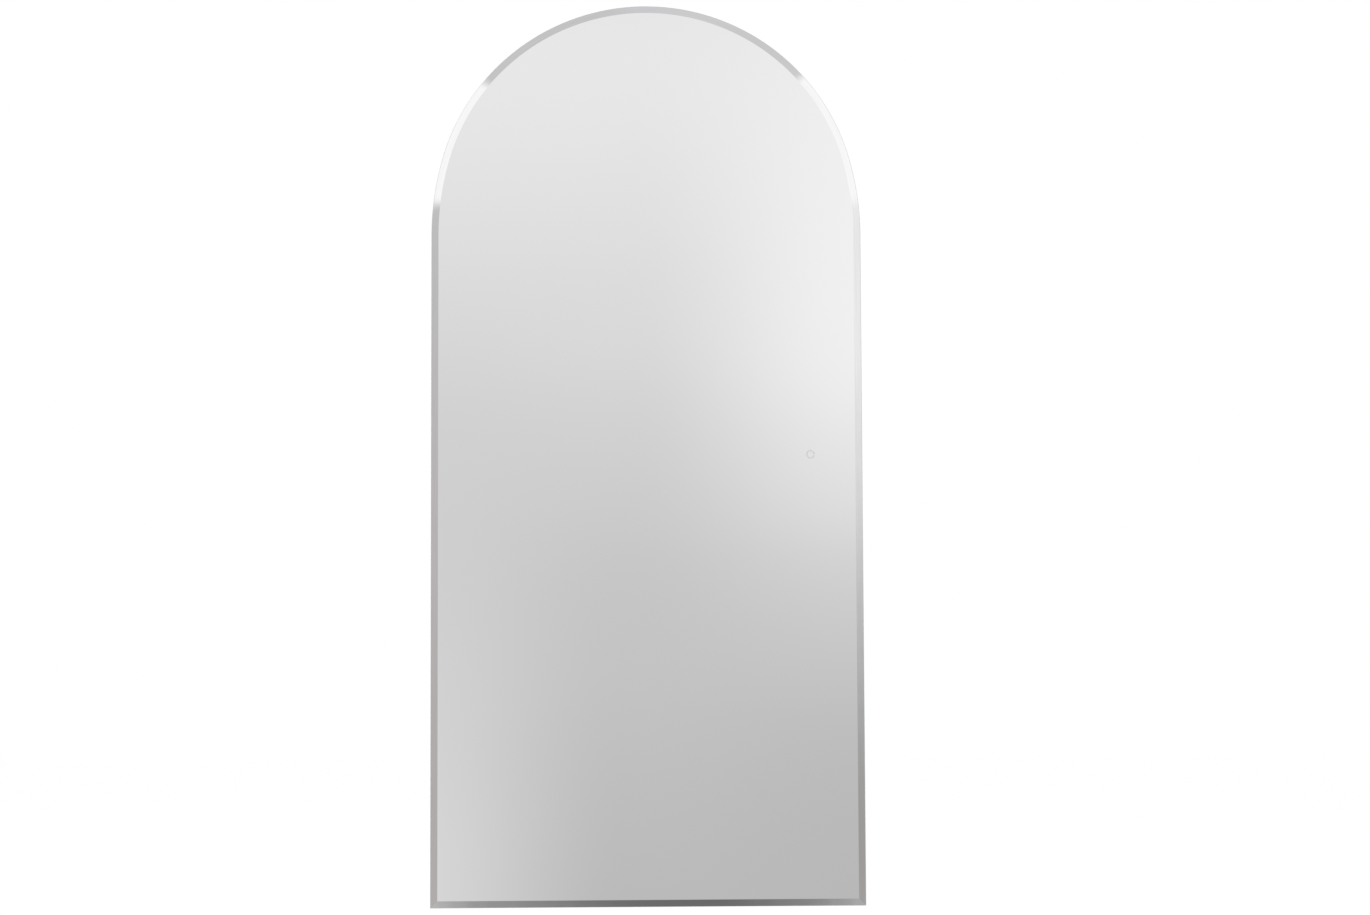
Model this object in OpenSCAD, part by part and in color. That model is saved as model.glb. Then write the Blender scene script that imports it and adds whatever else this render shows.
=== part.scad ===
// Arched wall mirror with a light behind it. The bevelled glass is taped to a hoop of extruded
// profile that carries an outward-facing light channel all round, and hangs on a wall rail.
//
// Everything is drawn lying face up on a bench: X runs across the mirror, Y up its height, and Z
// off the wall towards the room, so a Z value here is a height off the wall. hung() stands it up.
// The origin is the middle of the wall rail's line of screw holes, on the wall.

/* [Mirror glass] */
// Width of the mirror glass
glass_w = 600; // [560:10:700]
// Height of the mirror glass, to the top of its arch
glass_h = 1255; // [1160:5:1500]
// How much tighter the top of the arch is than a half circle
crown_tight = 4; // [0.5:0.5:7]
// Thickness of the mirror glass
glass_t = 5; // [4:0.5:6]
// Width of the polished bevel
bevel_w = 10; // [6:1:20]
// Fall of the bevel where it meets the edge
bevel_drop = 2; // [1:0.25:2.5]
// Size of the arrises ground on the edge
arris = 0.5; // [0.3:0.1:0.7]

/* [Touch ring] */
// Outer diameter of the etched ring
ring_d = 12; // [10:0.5:16]
// Width of the etched line
ring_line = 2; // [1:0.2:2.4]
// Depth of the etching
etch_depth = 0.2; // [0.1:0.05:0.4]
// From the side edge of the glass to the middle of the ring
touch_edge = 72.5; // [71:0.5:90]
// From the bottom edge of the glass to the middle of the ring
touch_up = 622.5; // [560:2.5:720]

/* [Chassis profile] */
// From the glass edge in to the lips of the light channel
chassis_inset = 25; // [20:1:30]
// Depth of the chassis
chassis_d = 28; // [26:1:34]
// Thickness of the wall and flanges
wall_t = 1.6; // [1.2:0.1:2.2]
// Reach of the inward flanges
flange_w = 14; // [13:0.5:16]
// Opening of the light channel
channel_w = 14; // [12.5:0.5:16]
// Depth of the light channel
channel_d = 9; // [7:0.5:10]
// Thickness of the channel's lips
lip_t = 2.2; // [1.8:0.1:2.6]
// From a lip's tip in to its groove
groove_set = 1.6; // [1.2:0.1:2]
// Depth of the grooves that hold the diffuser
groove_depth = 1; // [0.6:0.1:1.2]
// Thickness of the diffuser's edges
diffuser_t = 1.2; // [1:0.1:1.6]

/* [Tape and bumpers] */
// Thickness of the foam tape between chassis and glass
tape_t = 1; // [0.5:0.1:1.5]
// Width of the foam tape
tape_w = 11; // [8:0.5:12]
// Thickness of the bumpers that keep the chassis off the wall
bumper_t = 2; // [1.6:0.2:4]
// Diameter of the bumpers
bumper_d = 12; // [8:1:13]

/* [Light strip] */
// Width of the flexible strip
strip_w = 10; // [8:1:11]
// Thickness of the flexible strip
strip_t = 0.3; // [0.2:0.05:0.5]
// Spacing of the light chips
chip_pitch = 16.6; // [14:0.2:33]
// Length of a chip, along the strip
chip_l = 3.5; // [2.8:0.1:5]
// Width of a chip, across the strip
chip_w = 2.8; // [2:0.1:5]
// Height of a chip
chip_h = 0.8; // [0.6:0.1:1.6]

/* [Joining plates] */
// Thickness of the splice and corner plates
plate_t = 2; // [1.5:0.1:2.5]
// Length of the plates that join the arch to the legs
splice_l = 60; // [52:2:70]
// Length of a corner plate's arms
corner_l = 50; // [46:2:60]
// Diameter of the chassis screws
screw_d = 3; // [2.5:0.5:3.5]
// Diameter of their pan heads
head_d = 5.6; // [5:0.2:6.4]
// Height of their pan heads
head_h = 1.3; // [1:0.1:1.5]
// Length of their shanks
screw_l = 5; // [4.4:0.2:8]

/* [Hanging] */
// From the wall rail's screws up to the middle of the arch
rail_drop = 110; // [100:5:140]
// Length of the wall rail
rail_l = 440; // [430:5:460]
// Thickness of the wall rail
rail_t = 2; // [1.5:0.1:2.5]
// From the screw line down to the rail's lower edge
rail_foot = 14; // [10:1:18]
// From the screw line up to the ledge that carries the mirror
ledge_y = 12; // [10:1:16]
// Height of the lip above the ledge
rail_lip = 15; // [10:1:16]
// Diameter of the wall screws' holes
rail_hole_d = 5.5; // [4.5:0.5:6.5]
// Spacing of the outer pair of holes
outer_holes = 400; // [380:5:410]
// Spacing of the inner pair of holes
inner_holes = 160; // [100:10:200]
// Thickness of the hanger bar and the lower brace
bar_t = 2; // [1.5:0.1:2.5]
// Height of the hanger bar and the lower brace
bar_h = 40; // [38:1:44]
// Reach of the bars' stiffening flange
bar_fold = 12; // [8:1:14]
// Play between the hanger bar and the rail's lip
hook_play = 1.4; // [0.8:0.1:2]
// From the bottom edge of the glass up to the lower brace
brace_up = 110; // [102:2:140]

/* [Gear plate] */
// Width of the gear plate
gear_w = 330; // [325:1:345]
// Height of the gear plate
gear_h = 116; // [112:1:130]
// Thickness of the gear plate
gear_t = 1.2; // [1:0.1:1.6]
// Height of its folded edges
gear_fold = 8; // [5:0.5:12]
// From the bottom edge of the glass up to the middle of the plate
gear_up = 300; // [270:5:340]
// Thickness of the foam pads under the plate
pad_t = 1; // [0.6:0.1:1.5]
// Height of each foam pad
pad_h = 18; // [12:1:24]

/* [Driver] */
// Width of the driver's case
driver_w = 44; // [40:1:50]
// Height of the driver's case, with its lid
driver_h = 21; // [20:0.5:23]
// From the right end of the gear plate to the driver's ear
driver_end = 8; // [6:0.5:12]
// From the terminal box to the driver's other ear
ear_gap = 23; // [20:0.5:28]
// Wall of the driver's case and of the terminal box
case_wall = 1.8; // [1.4:0.1:2.2]
// Floor of both, and thickness of their lids
case_floor = 2; // [1.6:0.1:2.4]
// Rounding of their corners
case_r = 4; // [3:0.5:6]
// Reach of their fixing ears
ear_l = 10; // [9:0.5:11]

/* [Terminal box] */
// Length of the terminal box
box_l = 100; // [92:1:104]
// Width of the terminal box
box_w = 56; // [52:1:62]
// Height of the terminal box, with its lid
box_h = 23; // [21:0.5:25]
// From the left end of the gear plate to the box
box_end = 9; // [6:0.5:12]
// Bore of the grommet that takes the supply cable
inlet_d = 8; // [6:0.5:9]
// Poles of the terminal block
poles = 3; // [2:1:4]
// Spacing of the poles
pole_pitch = 10; // [8:0.5:11]

/* [Leads] */
// Diameter of the sheathed mains lead
mains_d = 6.5; // [5:0.5:7]
// Diameter of the low-voltage leads
lead_d = 4; // [3:0.2:4.6]
// Diameter of single cores
core_d = 1.4; // [1:0.1:1.6]
// From the gear plate to the middle of the leads at the driver
lead_rise = 7; // [6:0.25:8]
// From the back of the glass to the underside of the leads along it
lead_lift = 2.2; // [1.8:0.1:3]
// Width of the lead clips' adhesive pads
clip_pad = 14; // [12:0.5:15]
// Thickness of those pads
clip_pad_t = 1.5; // [1:0.1:2]
// From the end of the gear plate to where the leads come down to the glass
lead_run = 18; // [15:1:20]
// From the lower brace down to where the light lead is as low as the channel
lead_drop = 36; // [30:1:44]

/* [Touch sensor] */
// Width of the sensor's case
sensor_w = 32; // [28:1:34]
// Height of the sensor's case, up the mirror
sensor_h = 48; // [40:1:56]
// Depth of the sensor's case
sensor_d = 11; // [9:0.5:14]

/* [Hidden] */
$fn = 64;

// Clearance between pieces that slide together
fit_gap = 0.1;
// Overrun of a cut past the face it opens
cut = 1;

// Heights off the wall
chassis_z = bumper_t;
tape_z = chassis_z + chassis_d;
glass_z = tape_z + tape_t;
front_z = glass_z + glass_t;
channel_z = chassis_z + chassis_d / 2;
seat_z = chassis_z + wall_t;
gear_z = glass_z - pad_t - gear_t;
lead_z = gear_z - lead_rise;
laid_z = glass_z - lead_lift - lead_d / 2;

// The glass outline
arch_r = glass_w / 2;
arch_y = rail_drop;
bottom_y = arch_y + arch_r - glass_h;

// The glass arch: a crown between two shoulders of a larger radius. A shoulder's centre lies 24
// steps across and 7 down from the crown's, which is 25 along, so their curves meet in a tangent
crown_r = arch_r - crown_tight;
crown_y = arch_y + crown_tight;
shoulder_across = 24 * crown_tight;
shoulder_r = arch_r + shoulder_across;
shoulder_y = crown_y - 7 * crown_tight;
part_line = [480, 140];

// The chassis, measured outwards and inwards from the tips of the channel's lips
lip_r = arch_r - chassis_inset;
lip_y = bottom_y + chassis_inset;
wall_in = channel_d;
inner_in = wall_in + wall_t;
tip_in = inner_in + flange_w;
mid_in = inner_in + flange_w / 2;
mid_r = lip_r - mid_in;
mid_y = lip_y + mid_in;
inner_r = lip_r - inner_in;
lip_foot = chassis_d / 2 - channel_w / 2 - lip_t;

// The light strip starts clear of the corner, where the feed comes in
strip_gap = 34;
feed_y = lip_y + inner_in + 17;
feed_d = lead_d + 3;

// The touch ring and its sensor
touch_x = arch_r - touch_edge;
touch_y = bottom_y + touch_up;

// The bars, and the screws through the rear flange
brace_y = bottom_y + brace_up;
brace_ends = [10, 30];
hanger_ends = [14, 30];
splice_steps = [10, 22];
corner_steps = [18, 38];
screw_hole_d = screw_d + 2 * fit_gap;
join_w = flange_w - 4;
bar_end_gap = 0.5;

// The gear plate and what stands on it
gear_y = bottom_y + gear_up;
ear_t = 2;
ear_screw_l = ear_t + gear_t + pad_t / 2;
driver_l = gear_w - driver_end - box_end - box_l - ear_gap - 2 * ear_l;
driver_ear_x = driver_l / 2 + ear_l / 2;
driver_x = gear_w / 2 - driver_end - ear_l - driver_l / 2;
box_x = gear_w / 2 - box_end - box_l / 2;
box_ear_y = box_w / 2 + ear_l / 2;
lead_split = 10;
lid_lip = 3;
board_z = 4.2;
board_t = 1.6;
earth_at = [-box_x + box_l / 2 + 12, -gear_h / 2 + 16];
washer_t = 0.6;
tag_t = 0.8;

// Stands the bench frame up against the wall
module hung() {
    rotate([90, 0, 0]) children();
}

// Extrudes an outline of [y, z] points across the mirror, centred on X
module across(length) {
    translate([-length / 2, 0, 0]) rotate([90, 0, 90]) linear_extrude(length) children();
}

// Extrudes an outline of [x, z] points up the mirror, from low to high
module upwards(low, high) {
    translate([0, high, 0]) rotate([90, 0, 0]) linear_extrude(high - low) children();
}

// Turns Z towards the wall, for what stands on the back of the glass or on the gear plate
module rearward(at) {
    translate(at) mirror([0, 0, 1]) children();
}

// Draws a piece on the right and its mirror image on the left
module both_sides() {
    children();
    mirror([1, 0, 0]) children();
}

// Rectangle with round corners, centred
module round_rect(l, w, r) {
    square([l - 2 * r, w], center = true);
    square([l, w - 2 * r], center = true);
    for (x = [-1, 1], y = [-1, 1])
        translate([x * (l / 2 - r), y * (w / 2 - r)]) circle(r);
}

// Cylinder along X, from the left end
module rod_x(d, l) {
    rotate([0, 90, 0]) cylinder(d = d, h = l);
}

// Pan-head screw with a cross recess, seated at the origin, with its head below Z = 0
module pan_screw(d, l, top_d, top_h) {
    slot = top_d / 7;
    difference() {
        union() {
            translate([0, 0, -top_h * 0.6]) cylinder(d = top_d, h = top_h * 0.6);
            translate([0, 0, -top_h]) cylinder(d1 = top_d * 0.7, d2 = top_d, h = top_h * 0.4);
            cylinder(d = d, h = l);
        }
        for (turn = [0, 90])
            rotate(turn) translate([-top_d * 0.3, -slot / 2, -top_h - cut])
                cube([top_d * 0.6, slot, cut + top_h * 0.6]);
    }
}

// One unit step along a vector
function unit(v) = v / norm(v);

// Points round a corner of a route, from the side of a to the side of c
function corner_arc(a, b, c, r, steps = 5) =
    let (
        back = unit(a - b),
        on = unit(c - b),
        half = acos(back * on) / 2,
        sweep = 180 - 2 * half,
        centre = b + unit(back + on) * r / sin(half),
        first = unit(b + back * r / tan(half) - centre),
        last = unit(b + on * r / tan(half) - centre)
    )
    [for (i = [0:steps]) let (t = i / steps)
        centre + r * (first * sin((1 - t) * sweep) + last * sin(t * sweep)) / sin(sweep)];

// A route through the given points with every corner between its ends rounded
function rounded(p, r) = [
    p[0],
    for (i = [1:len(p) - 2]) each corner_arc(p[i - 1], p[i], p[i + 1], r),
    p[len(p) - 1]
];

// Round lead through a list of points, with its corners bent to a radius; no step of the way
// may run along [1, 1, 1]
module lead(points, d, r, sides = 12) {
    path = rounded(points, r);
    last = len(path) - 1;
    rings = [
        for (i = [0:last])
            let (
                along = unit(path[min(i + 1, last)] - path[max(i - 1, 0)]),
                a = unit(cross(along, [1, 1, 1])),
                b = cross(along, a)
            )
            for (k = [0:sides - 1])
                path[i] + d / 2 * (cos(360 * k / sides) * a + sin(360 * k / sides) * b)
    ];
    skin = [
        for (i = [0:last - 1], k = [0:sides - 1])
            let (m = (k + 1) % sides, s = i * sides, n = s + sides)
            each [[s + k, n + k, n + m], [s + k, n + m, s + m]]
    ];
    ends = [
        for (k = [1:sides - 2])
            each [[0, k, k + 1], [last * sides, last * sides + k + 1, last * sides + k]]
    ];
    polyhedron(rings, concat(skin, ends), convexity = 4);
}

// The mirror glass, with its bevel, arrises and etched ring

// Section of the glass from a middle line or an axis out to its edge
module glass_half(reach) {
    polygon([
        [0, 0],
        [reach - arris, 0],
        [reach, arris],
        [reach, glass_t - bevel_drop - arris],
        [reach - arris, glass_t - bevel_drop],
        [reach - bevel_w, glass_t],
        [0, glass_t]
    ]);
}

// The whole thickness of the glass within an outline, to part the arch with
module glass_within(outline) {
    translate([0, 0, -cut]) linear_extrude(glass_t + 2 * cut) polygon(outline);
}

// The top of the arch, down to the lines on which the crown meets the shoulders
module glass_crown() {
    side_y = crown_y + part_line.y;
    top_y = crown_y + arch_r;
    intersection() {
        translate([0, crown_y, 0]) rotate_extrude() glass_half(crown_r);
        glass_within([[0, crown_y], [part_line.x, side_y], [part_line.x, top_y],
            [-part_line.x, top_y], [-part_line.x, side_y]]);
    }
}

// The disc whose edge one of the shoulders follows
module shoulder_disc(side) {
    translate([-side * shoulder_across, shoulder_y, 0]) rotate_extrude() glass_half(shoulder_r);
}

// The glass between both shoulders, from the straight sides up to the crown
module glass_shoulders() {
    side_y = crown_y + part_line.y;
    intersection() {
        shoulder_disc(1);
        shoulder_disc(-1);
        glass_within([[-part_line.x, shoulder_y], [part_line.x, shoulder_y],
            [part_line.x, side_y], [0, crown_y], [-part_line.x, side_y]]);
    }
}

// The part of the glass below the arch, where two bevels meet at each corner
module glass_lower() {
    depth = shoulder_y - bottom_y;
    intersection() {
        upwards(bottom_y, shoulder_y) {
            glass_half(arch_r);
            mirror([1, 0]) glass_half(arch_r);
        }
        across(glass_w) translate([shoulder_y, 0]) mirror([1, 0]) glass_half(depth);
    }
}

module mirror_glass() {
    color("silver") hung() difference() {
        translate([0, 0, glass_z]) {
            glass_crown();
            glass_shoulders();
            glass_lower();
        }
        translate([touch_x, touch_y, front_z - etch_depth]) difference() {
            cylinder(d = ring_d, h = etch_depth + cut);
            translate([0, 0, -cut]) cylinder(d = ring_d - 2 * ring_line, h = etch_depth + 3 * cut);
        }
    }
}

// Foam tape that holds the glass on the front flange: an arch and three strips
module mounting_tape() {
    half = tape_w / 2;
    color("whitesmoke") hung() translate([0, 0, tape_z]) {
        translate([0, arch_y, 0]) rotate_extrude(angle = 180)
            translate([mid_r - half, 0]) square([tape_w, tape_t]);
        both_sides() translate([mid_r - half, mid_y - half, 0])
            cube([tape_w, arch_y - mid_y + half, tape_t]);
        translate([half - mid_r, mid_y - half, 0]) cube([2 * mid_r - tape_w, tape_w, tape_t]);
    }
}

// The chassis: one extruded profile, bent for the arch and mitred at the bottom corners

// The profile as [outward, rearward-to-front] points, from the tips of the channel's lips
module chassis_profile() {
    low = lip_foot + lip_t;
    high = chassis_d - low;
    polygon([
        [-wall_in, 0], [-wall_in, lip_foot], [0, lip_foot], [0, low],
        [-groove_set, low], [-groove_set, low - groove_depth],
        [-groove_set - diffuser_t - 2 * fit_gap, low - groove_depth],
        [-groove_set - diffuser_t - 2 * fit_gap, low],
        [-wall_in, low], [-wall_in, high],
        [-groove_set - diffuser_t - 2 * fit_gap, high],
        [-groove_set - diffuser_t - 2 * fit_gap, high + groove_depth],
        [-groove_set, high + groove_depth], [-groove_set, high],
        [0, high], [0, high + lip_t], [-wall_in, high + lip_t], [-wall_in, chassis_d],
        [-tip_in, chassis_d], [-tip_in, chassis_d - wall_t],
        [-inner_in, chassis_d - wall_t], [-inner_in, wall_t],
        [-tip_in, wall_t], [-tip_in, 0]
    ]);
}

// The diffuser: thin edges in the grooves, and a crown that fills the mouth between the lips
module diffuser_profile() {
    low = lip_foot + lip_t;
    high = chassis_d - low;
    reach = groove_depth - fit_gap;
    back = -groove_set - fit_gap - diffuser_t;
    step = -groove_set - fit_gap;
    crown = 0.4;
    polygon([
        [back, low - reach], [step, low - reach], [step, low + fit_gap],
        [-crown - 0.6, low + fit_gap], [-crown, low + fit_gap + 2],
        [-crown, high - fit_gap - 2], [-crown - 0.6, high - fit_gap],
        [step, high - fit_gap], [step, high + reach], [back, high + reach]
    ]);
}

// Runs a profile round the arch
module round_arch() {
    translate([0, arch_y, chassis_z]) rotate_extrude(angle = 180) translate([lip_r, 0]) children();
}

// Runs a profile down the right leg to a mitre at the bottom corner
module down_leg() {
    intersection() {
        translate([lip_r, 0, chassis_z]) upwards(lip_y, arch_y) children();
        translate([0, 0, -cut]) linear_extrude(tape_z + 2 * cut) polygon([
            [lip_r, lip_y], [lip_r, arch_y],
            [lip_r - tip_in, arch_y], [lip_r - tip_in, lip_y + tip_in]
        ]);
    }
}

// Runs a profile along the bottom, mitred at both ends
module along_bottom() {
    intersection() {
        across(2 * lip_r) translate([lip_y, chassis_z]) mirror([1, 0]) children();
        translate([0, 0, -cut]) linear_extrude(tape_z + 2 * cut) polygon([
            [-lip_r, lip_y], [lip_r, lip_y],
            [lip_r - tip_in, lip_y + tip_in], [tip_in - lip_r, lip_y + tip_in]
        ]);
    }
}

// Places of the screws through the right leg's rear flange
function leg_screws() = [
    for (s = splice_steps) [mid_r, arch_y - s],
    for (s = hanger_ends) [mid_r, ledge_y + s],
    for (s = brace_ends) [mid_r, brace_y + s],
    for (s = corner_steps) [mid_r, mid_y + s]
];

// Places of the screws through the arch's rear flange, on the right
function arch_screws() = [for (s = splice_steps) [mid_r, arch_y + s]];

// Places of the screws through the bottom's rear flange, on the right
function bottom_screws() = [for (s = corner_steps) [mid_r - s, mid_y]];

// Clearance holes through the rear flange
module flange_holes(places) {
    for (p = places)
        translate([p[0], p[1], chassis_z - cut]) cylinder(d = screw_hole_d, h = wall_t + 2 * cut);
}

module chassis_arch() {
    color("lightgray") hung() difference() {
        round_arch() chassis_profile();
        both_sides() flange_holes(arch_screws());
    }
}

module chassis_leg_left() {
    color("lightgray") hung() mirror([1, 0, 0]) difference() {
        down_leg() chassis_profile();
        flange_holes(leg_screws());
    }
}

module chassis_leg_right() {
    color("lightgray") hung() difference() {
        down_leg() chassis_profile();
        flange_holes(leg_screws());
        translate([inner_r - cut, feed_y, channel_z]) rod_x(feed_d, wall_t + 2 * cut);
    }
}

module chassis_bottom() {
    color("lightgray") hung() difference() {
        along_bottom() chassis_profile();
        both_sides() flange_holes(bottom_screws());
    }
}

module diffuser_arch() {
    color("white") hung() round_arch() diffuser_profile();
}

module diffuser_leg_left() {
    color("white") hung() mirror([1, 0, 0]) down_leg() diffuser_profile();
}

module diffuser_leg_right() {
    color("white") hung() down_leg() diffuser_profile();
}

module diffuser_bottom() {
    color("white") hung() along_bottom() diffuser_profile();
}

// Light strip on the floor of the channel: round the arch, down each leg and along the bottom
strip_r = lip_r - wall_in;
strip_y = lip_y + wall_in;

module light_strip() {
    color("ivory") hung() translate([0, 0, channel_z - strip_w / 2]) {
        translate([0, arch_y, 0]) rotate_extrude(angle = 180)
            translate([strip_r, 0]) square([strip_t, strip_w]);
        both_sides() translate([strip_r, strip_y + strip_gap, 0])
            cube([strip_t, arch_y - strip_y - strip_gap, strip_w]);
        translate([strip_gap - strip_r, strip_y - strip_t, 0])
            cube([2 * (strip_r - strip_gap), strip_t, strip_w]);
    }
}

// One light chip on a strip that faces +X
module chip() {
    translate([0, -chip_l / 2, -chip_w / 2]) cube([chip_h, chip_l, chip_w]);
}

// Evenly spaced places along a run, half a step in from each end
function spaced(run) = let (n = floor(run / chip_pitch)) [for (i = [0:n - 1]) (i + 0.5) * run / n];

module light_chips() {
    leg_run = arch_y - strip_y - strip_gap;
    arch_run = PI * strip_r;
    bottom_run = 2 * (strip_r - strip_gap);
    lift = strip_t + 0.01;
    color("gold") hung() translate([0, 0, channel_z]) {
        for (s = spaced(arch_run))
            translate([0, arch_y, 0]) rotate(180 * s / arch_run) translate([strip_r + lift, 0, 0]) chip();
        both_sides() for (s = spaced(leg_run))
            translate([strip_r + lift, arch_y - s, 0]) chip();
        for (s = spaced(bottom_run))
            translate([s - bottom_run / 2, strip_y - lift, 0]) rotate(-90) chip();
    }
}

// Plates that join the chassis pieces, on the inside of the rear flange

module splice_plates() {
    color("gainsboro") hung() both_sides() difference() {
        translate([mid_r - join_w / 2, arch_y - splice_l / 2, seat_z])
            cube([join_w, splice_l, plate_t]);
        for (p = concat(arch_screws(), [for (s = splice_steps) [mid_r, arch_y - s]]))
            translate([p[0], p[1], seat_z - cut]) cylinder(d = screw_hole_d, h = plate_t + 2 * cut);
    }
}

module corner_plates() {
    half = join_w / 2;
    color("gainsboro") hung() both_sides() difference() {
        translate([0, 0, seat_z]) linear_extrude(plate_t) polygon([
            [mid_r + half, mid_y - half], [mid_r + half, mid_y - half + corner_l],
            [mid_r - half, mid_y - half + corner_l], [mid_r - half, mid_y + half],
            [mid_r + half - corner_l, mid_y + half], [mid_r + half - corner_l, mid_y - half]
        ]);
        for (p = concat(bottom_screws(), [for (s = corner_steps) [mid_r, mid_y + s]]))
            translate([p[0], p[1], seat_z - cut]) cylinder(d = screw_hole_d, h = plate_t + 2 * cut);
    }
}

// Screws driven from the rear at the given places
module chassis_screws(places) {
    for (p = places) translate([p[0], p[1], chassis_z]) pan_screw(screw_d, screw_l, head_d, head_h);
}

module plate_screws() {
    leg = concat([for (s = splice_steps) [mid_r, arch_y - s]], [for (s = corner_steps) [mid_r, mid_y + s]]);
    color("dimgray") hung() both_sides()
        chassis_screws(concat(leg, arch_screws(), bottom_screws()));
}

module bar_screws() {
    color("dimgray") hung() both_sides() chassis_screws([
        for (s = hanger_ends) [mid_r, ledge_y + s],
        for (s = brace_ends) [mid_r, brace_y + s]
    ]);
}

// Folded bar across the chassis: a plate on the rear flanges with a stiffening flange on top
module cross_bar(low, ends) {
    length = 2 * (inner_r - bar_end_gap);
    difference() {
        across(length) polygon([
            [low, seat_z], [low + bar_h, seat_z], [low + bar_h, seat_z + bar_fold],
            [low + bar_h - bar_t, seat_z + bar_fold], [low + bar_h - bar_t, seat_z + bar_t],
            [low, seat_z + bar_t]
        ]);
        both_sides() for (s = ends)
            translate([mid_r, low + s, seat_z - cut]) cylinder(d = screw_hole_d, h = bar_t + 2 * cut);
    }
}

module hanger_bar() {
    color("lightsteelblue") hung() cross_bar(ledge_y, hanger_ends);
}

module lower_brace() {
    color("lightsteelblue") hung() cross_bar(brace_y, brace_ends);
}

// Rail screwed to the wall; the hanger bar's lower edge drops behind its lip onto the ledge
module wall_rail() {
    pocket = seat_z + bar_t + hook_play;
    out = pocket + rail_t;
    tip = ledge_y + rail_lip;
    flare = rail_lip / 3;
    color("silver") hung() difference() {
        across(rail_l) polygon([
            [-rail_foot, 0], [ledge_y, 0], [ledge_y, pocket], [tip - flare, pocket],
            [tip, pocket + rail_t * 0.75], [tip, out + rail_t * 0.75], [tip - flare, out],
            [ledge_y - rail_t, out], [ledge_y - rail_t, rail_t], [-rail_foot, rail_t]
        ]);
        for (x = [outer_holes, inner_holes] / 2) both_sides()
            translate([x, 0, -cut]) cylinder(d = rail_hole_d, h = rail_t + 2 * cut);
    }
}

// Rubber bumpers on the rear flange, two on the arch and two on the bottom
module wall_bumpers() {
    lean = 50;
    bumper_x = mid_r * 0.6;
    color("black") hung() both_sides() {
        translate([mid_r * cos(lean), arch_y + mid_r * sin(lean), 0]) bumper();
        translate([bumper_x, mid_y, 0]) bumper();
    }
}

module bumper() {
    cylinder(d1 = bumper_d - 1, d2 = bumper_d, h = bumper_t / 2);
    translate([0, 0, bumper_t / 2]) cylinder(d = bumper_d, h = bumper_t / 2);
}

// The gear plate, taped to the back of the glass

// Draws on the rear face of the gear plate, from its middle
module on_gear(x = 0, y = 0) {
    rearward([x, gear_y + y, gear_z]) children();
}

// Places of the fixing screws, from the middle of the gear plate
function gear_screw_places() = [
    for (s = [-1, 1]) [driver_x + s * driver_ear_x, 0],
    for (s = [-1, 1]) [-box_x, s * box_ear_y]
];

module gear_plate() {
    color("lightgray") hung() on_gear() difference() {
        union() {
            translate([-gear_w / 2, -gear_h / 2, -gear_t]) cube([gear_w, gear_h, gear_t]);
            for (y = [-gear_h / 2, gear_h / 2 - gear_t])
                translate([-gear_w / 2, y, 0]) cube([gear_w, gear_t, gear_fold]);
        }
        for (p = concat(gear_screw_places(), [earth_at]))
            translate([p[0], p[1], -gear_t - cut]) cylinder(d = screw_hole_d, h = gear_t + 2 * cut);
    }
}

module gear_pads() {
    drop = gear_h / 2 - pad_h / 2 - 2;
    color("whitesmoke") hung() on_gear() for (y = [-drop, drop])
        translate([-gear_w / 2 + 10, y - pad_h / 2, -gear_t - pad_t]) cube([gear_w - 20, pad_h, pad_t]);
}

module gear_screws() {
    color("dimgray") hung() on_gear() for (p = gear_screw_places())
        translate([p[0], p[1], ear_t]) mirror([0, 0, 1]) pan_screw(screw_d, ear_screw_l, head_d, head_h);
}

// Moulded case, open towards the wall, with walls on a floor
module open_case(l, w, h) {
    difference() {
        linear_extrude(h) round_rect(l, w, case_r);
        translate([0, 0, case_floor]) linear_extrude(h)
            round_rect(l - 2 * case_wall, w - 2 * case_wall, case_r - case_wall + 0.4);
    }
}

// Lid with a rim that drops inside the case's walls
module case_lid(l, w, h) {
    inner_l = l - 2 * case_wall - 2 * fit_gap;
    inner_w = w - 2 * case_wall - 2 * fit_gap;
    translate([0, 0, h - case_floor]) linear_extrude(case_floor) round_rect(l, w, case_r);
    translate([0, 0, h - case_floor - lid_lip]) linear_extrude(lid_lip) difference() {
        round_rect(inner_l, inner_w, case_r - case_wall + 0.4);
        round_rect(inner_l - 2, inner_w - 2, case_r - case_wall);
    }
}

// Fixing ear with a round end, reaching out along X from a wall at the origin
module ear() {
    difference() {
        union() {
            translate([-case_wall / 2, -ear_l / 2, 0]) cube([ear_l / 2 + case_wall / 2, ear_l, ear_t]);
            translate([ear_l / 2, 0, 0]) cylinder(d = ear_l, h = ear_t);
        }
        translate([ear_l / 2, 0, -cut]) cylinder(d = screw_hole_d, h = ear_t + 2 * cut);
    }
}

// Driver: a moulded case with a board inside

module driver_case() {
    hole = lead_d + 2 * fit_gap;
    color("white") hung() on_gear(driver_x) difference() {
        union() {
            open_case(driver_l, driver_w, driver_h - case_floor);
            translate([driver_l / 2, 0, 0]) ear();
            rotate(180) translate([driver_l / 2, 0, 0]) ear();
        }
        translate([-driver_l / 2 - cut, lead_split, lead_rise])
            rod_x(mains_d + 2 * fit_gap, case_wall + 2 * cut);
        for (y = [-lead_split, lead_split])
            translate([driver_l / 2 - case_wall - cut, y, lead_rise]) rod_x(hole, case_wall + 2 * cut);
    }
}

module driver_lid() {
    vents = 12;
    color("white") hung() on_gear(driver_x) difference() {
        case_lid(driver_l, driver_w, driver_h);
        for (i = [0:vents - 1])
            translate([(i - (vents - 1) / 2) * 6, 0, driver_h - case_floor / 2])
                linear_extrude(case_floor) square([2, driver_w * 0.45], center = true);
    }
}

board_l = driver_l - 30;
board_w = driver_w - 2 * case_wall - 3;

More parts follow.
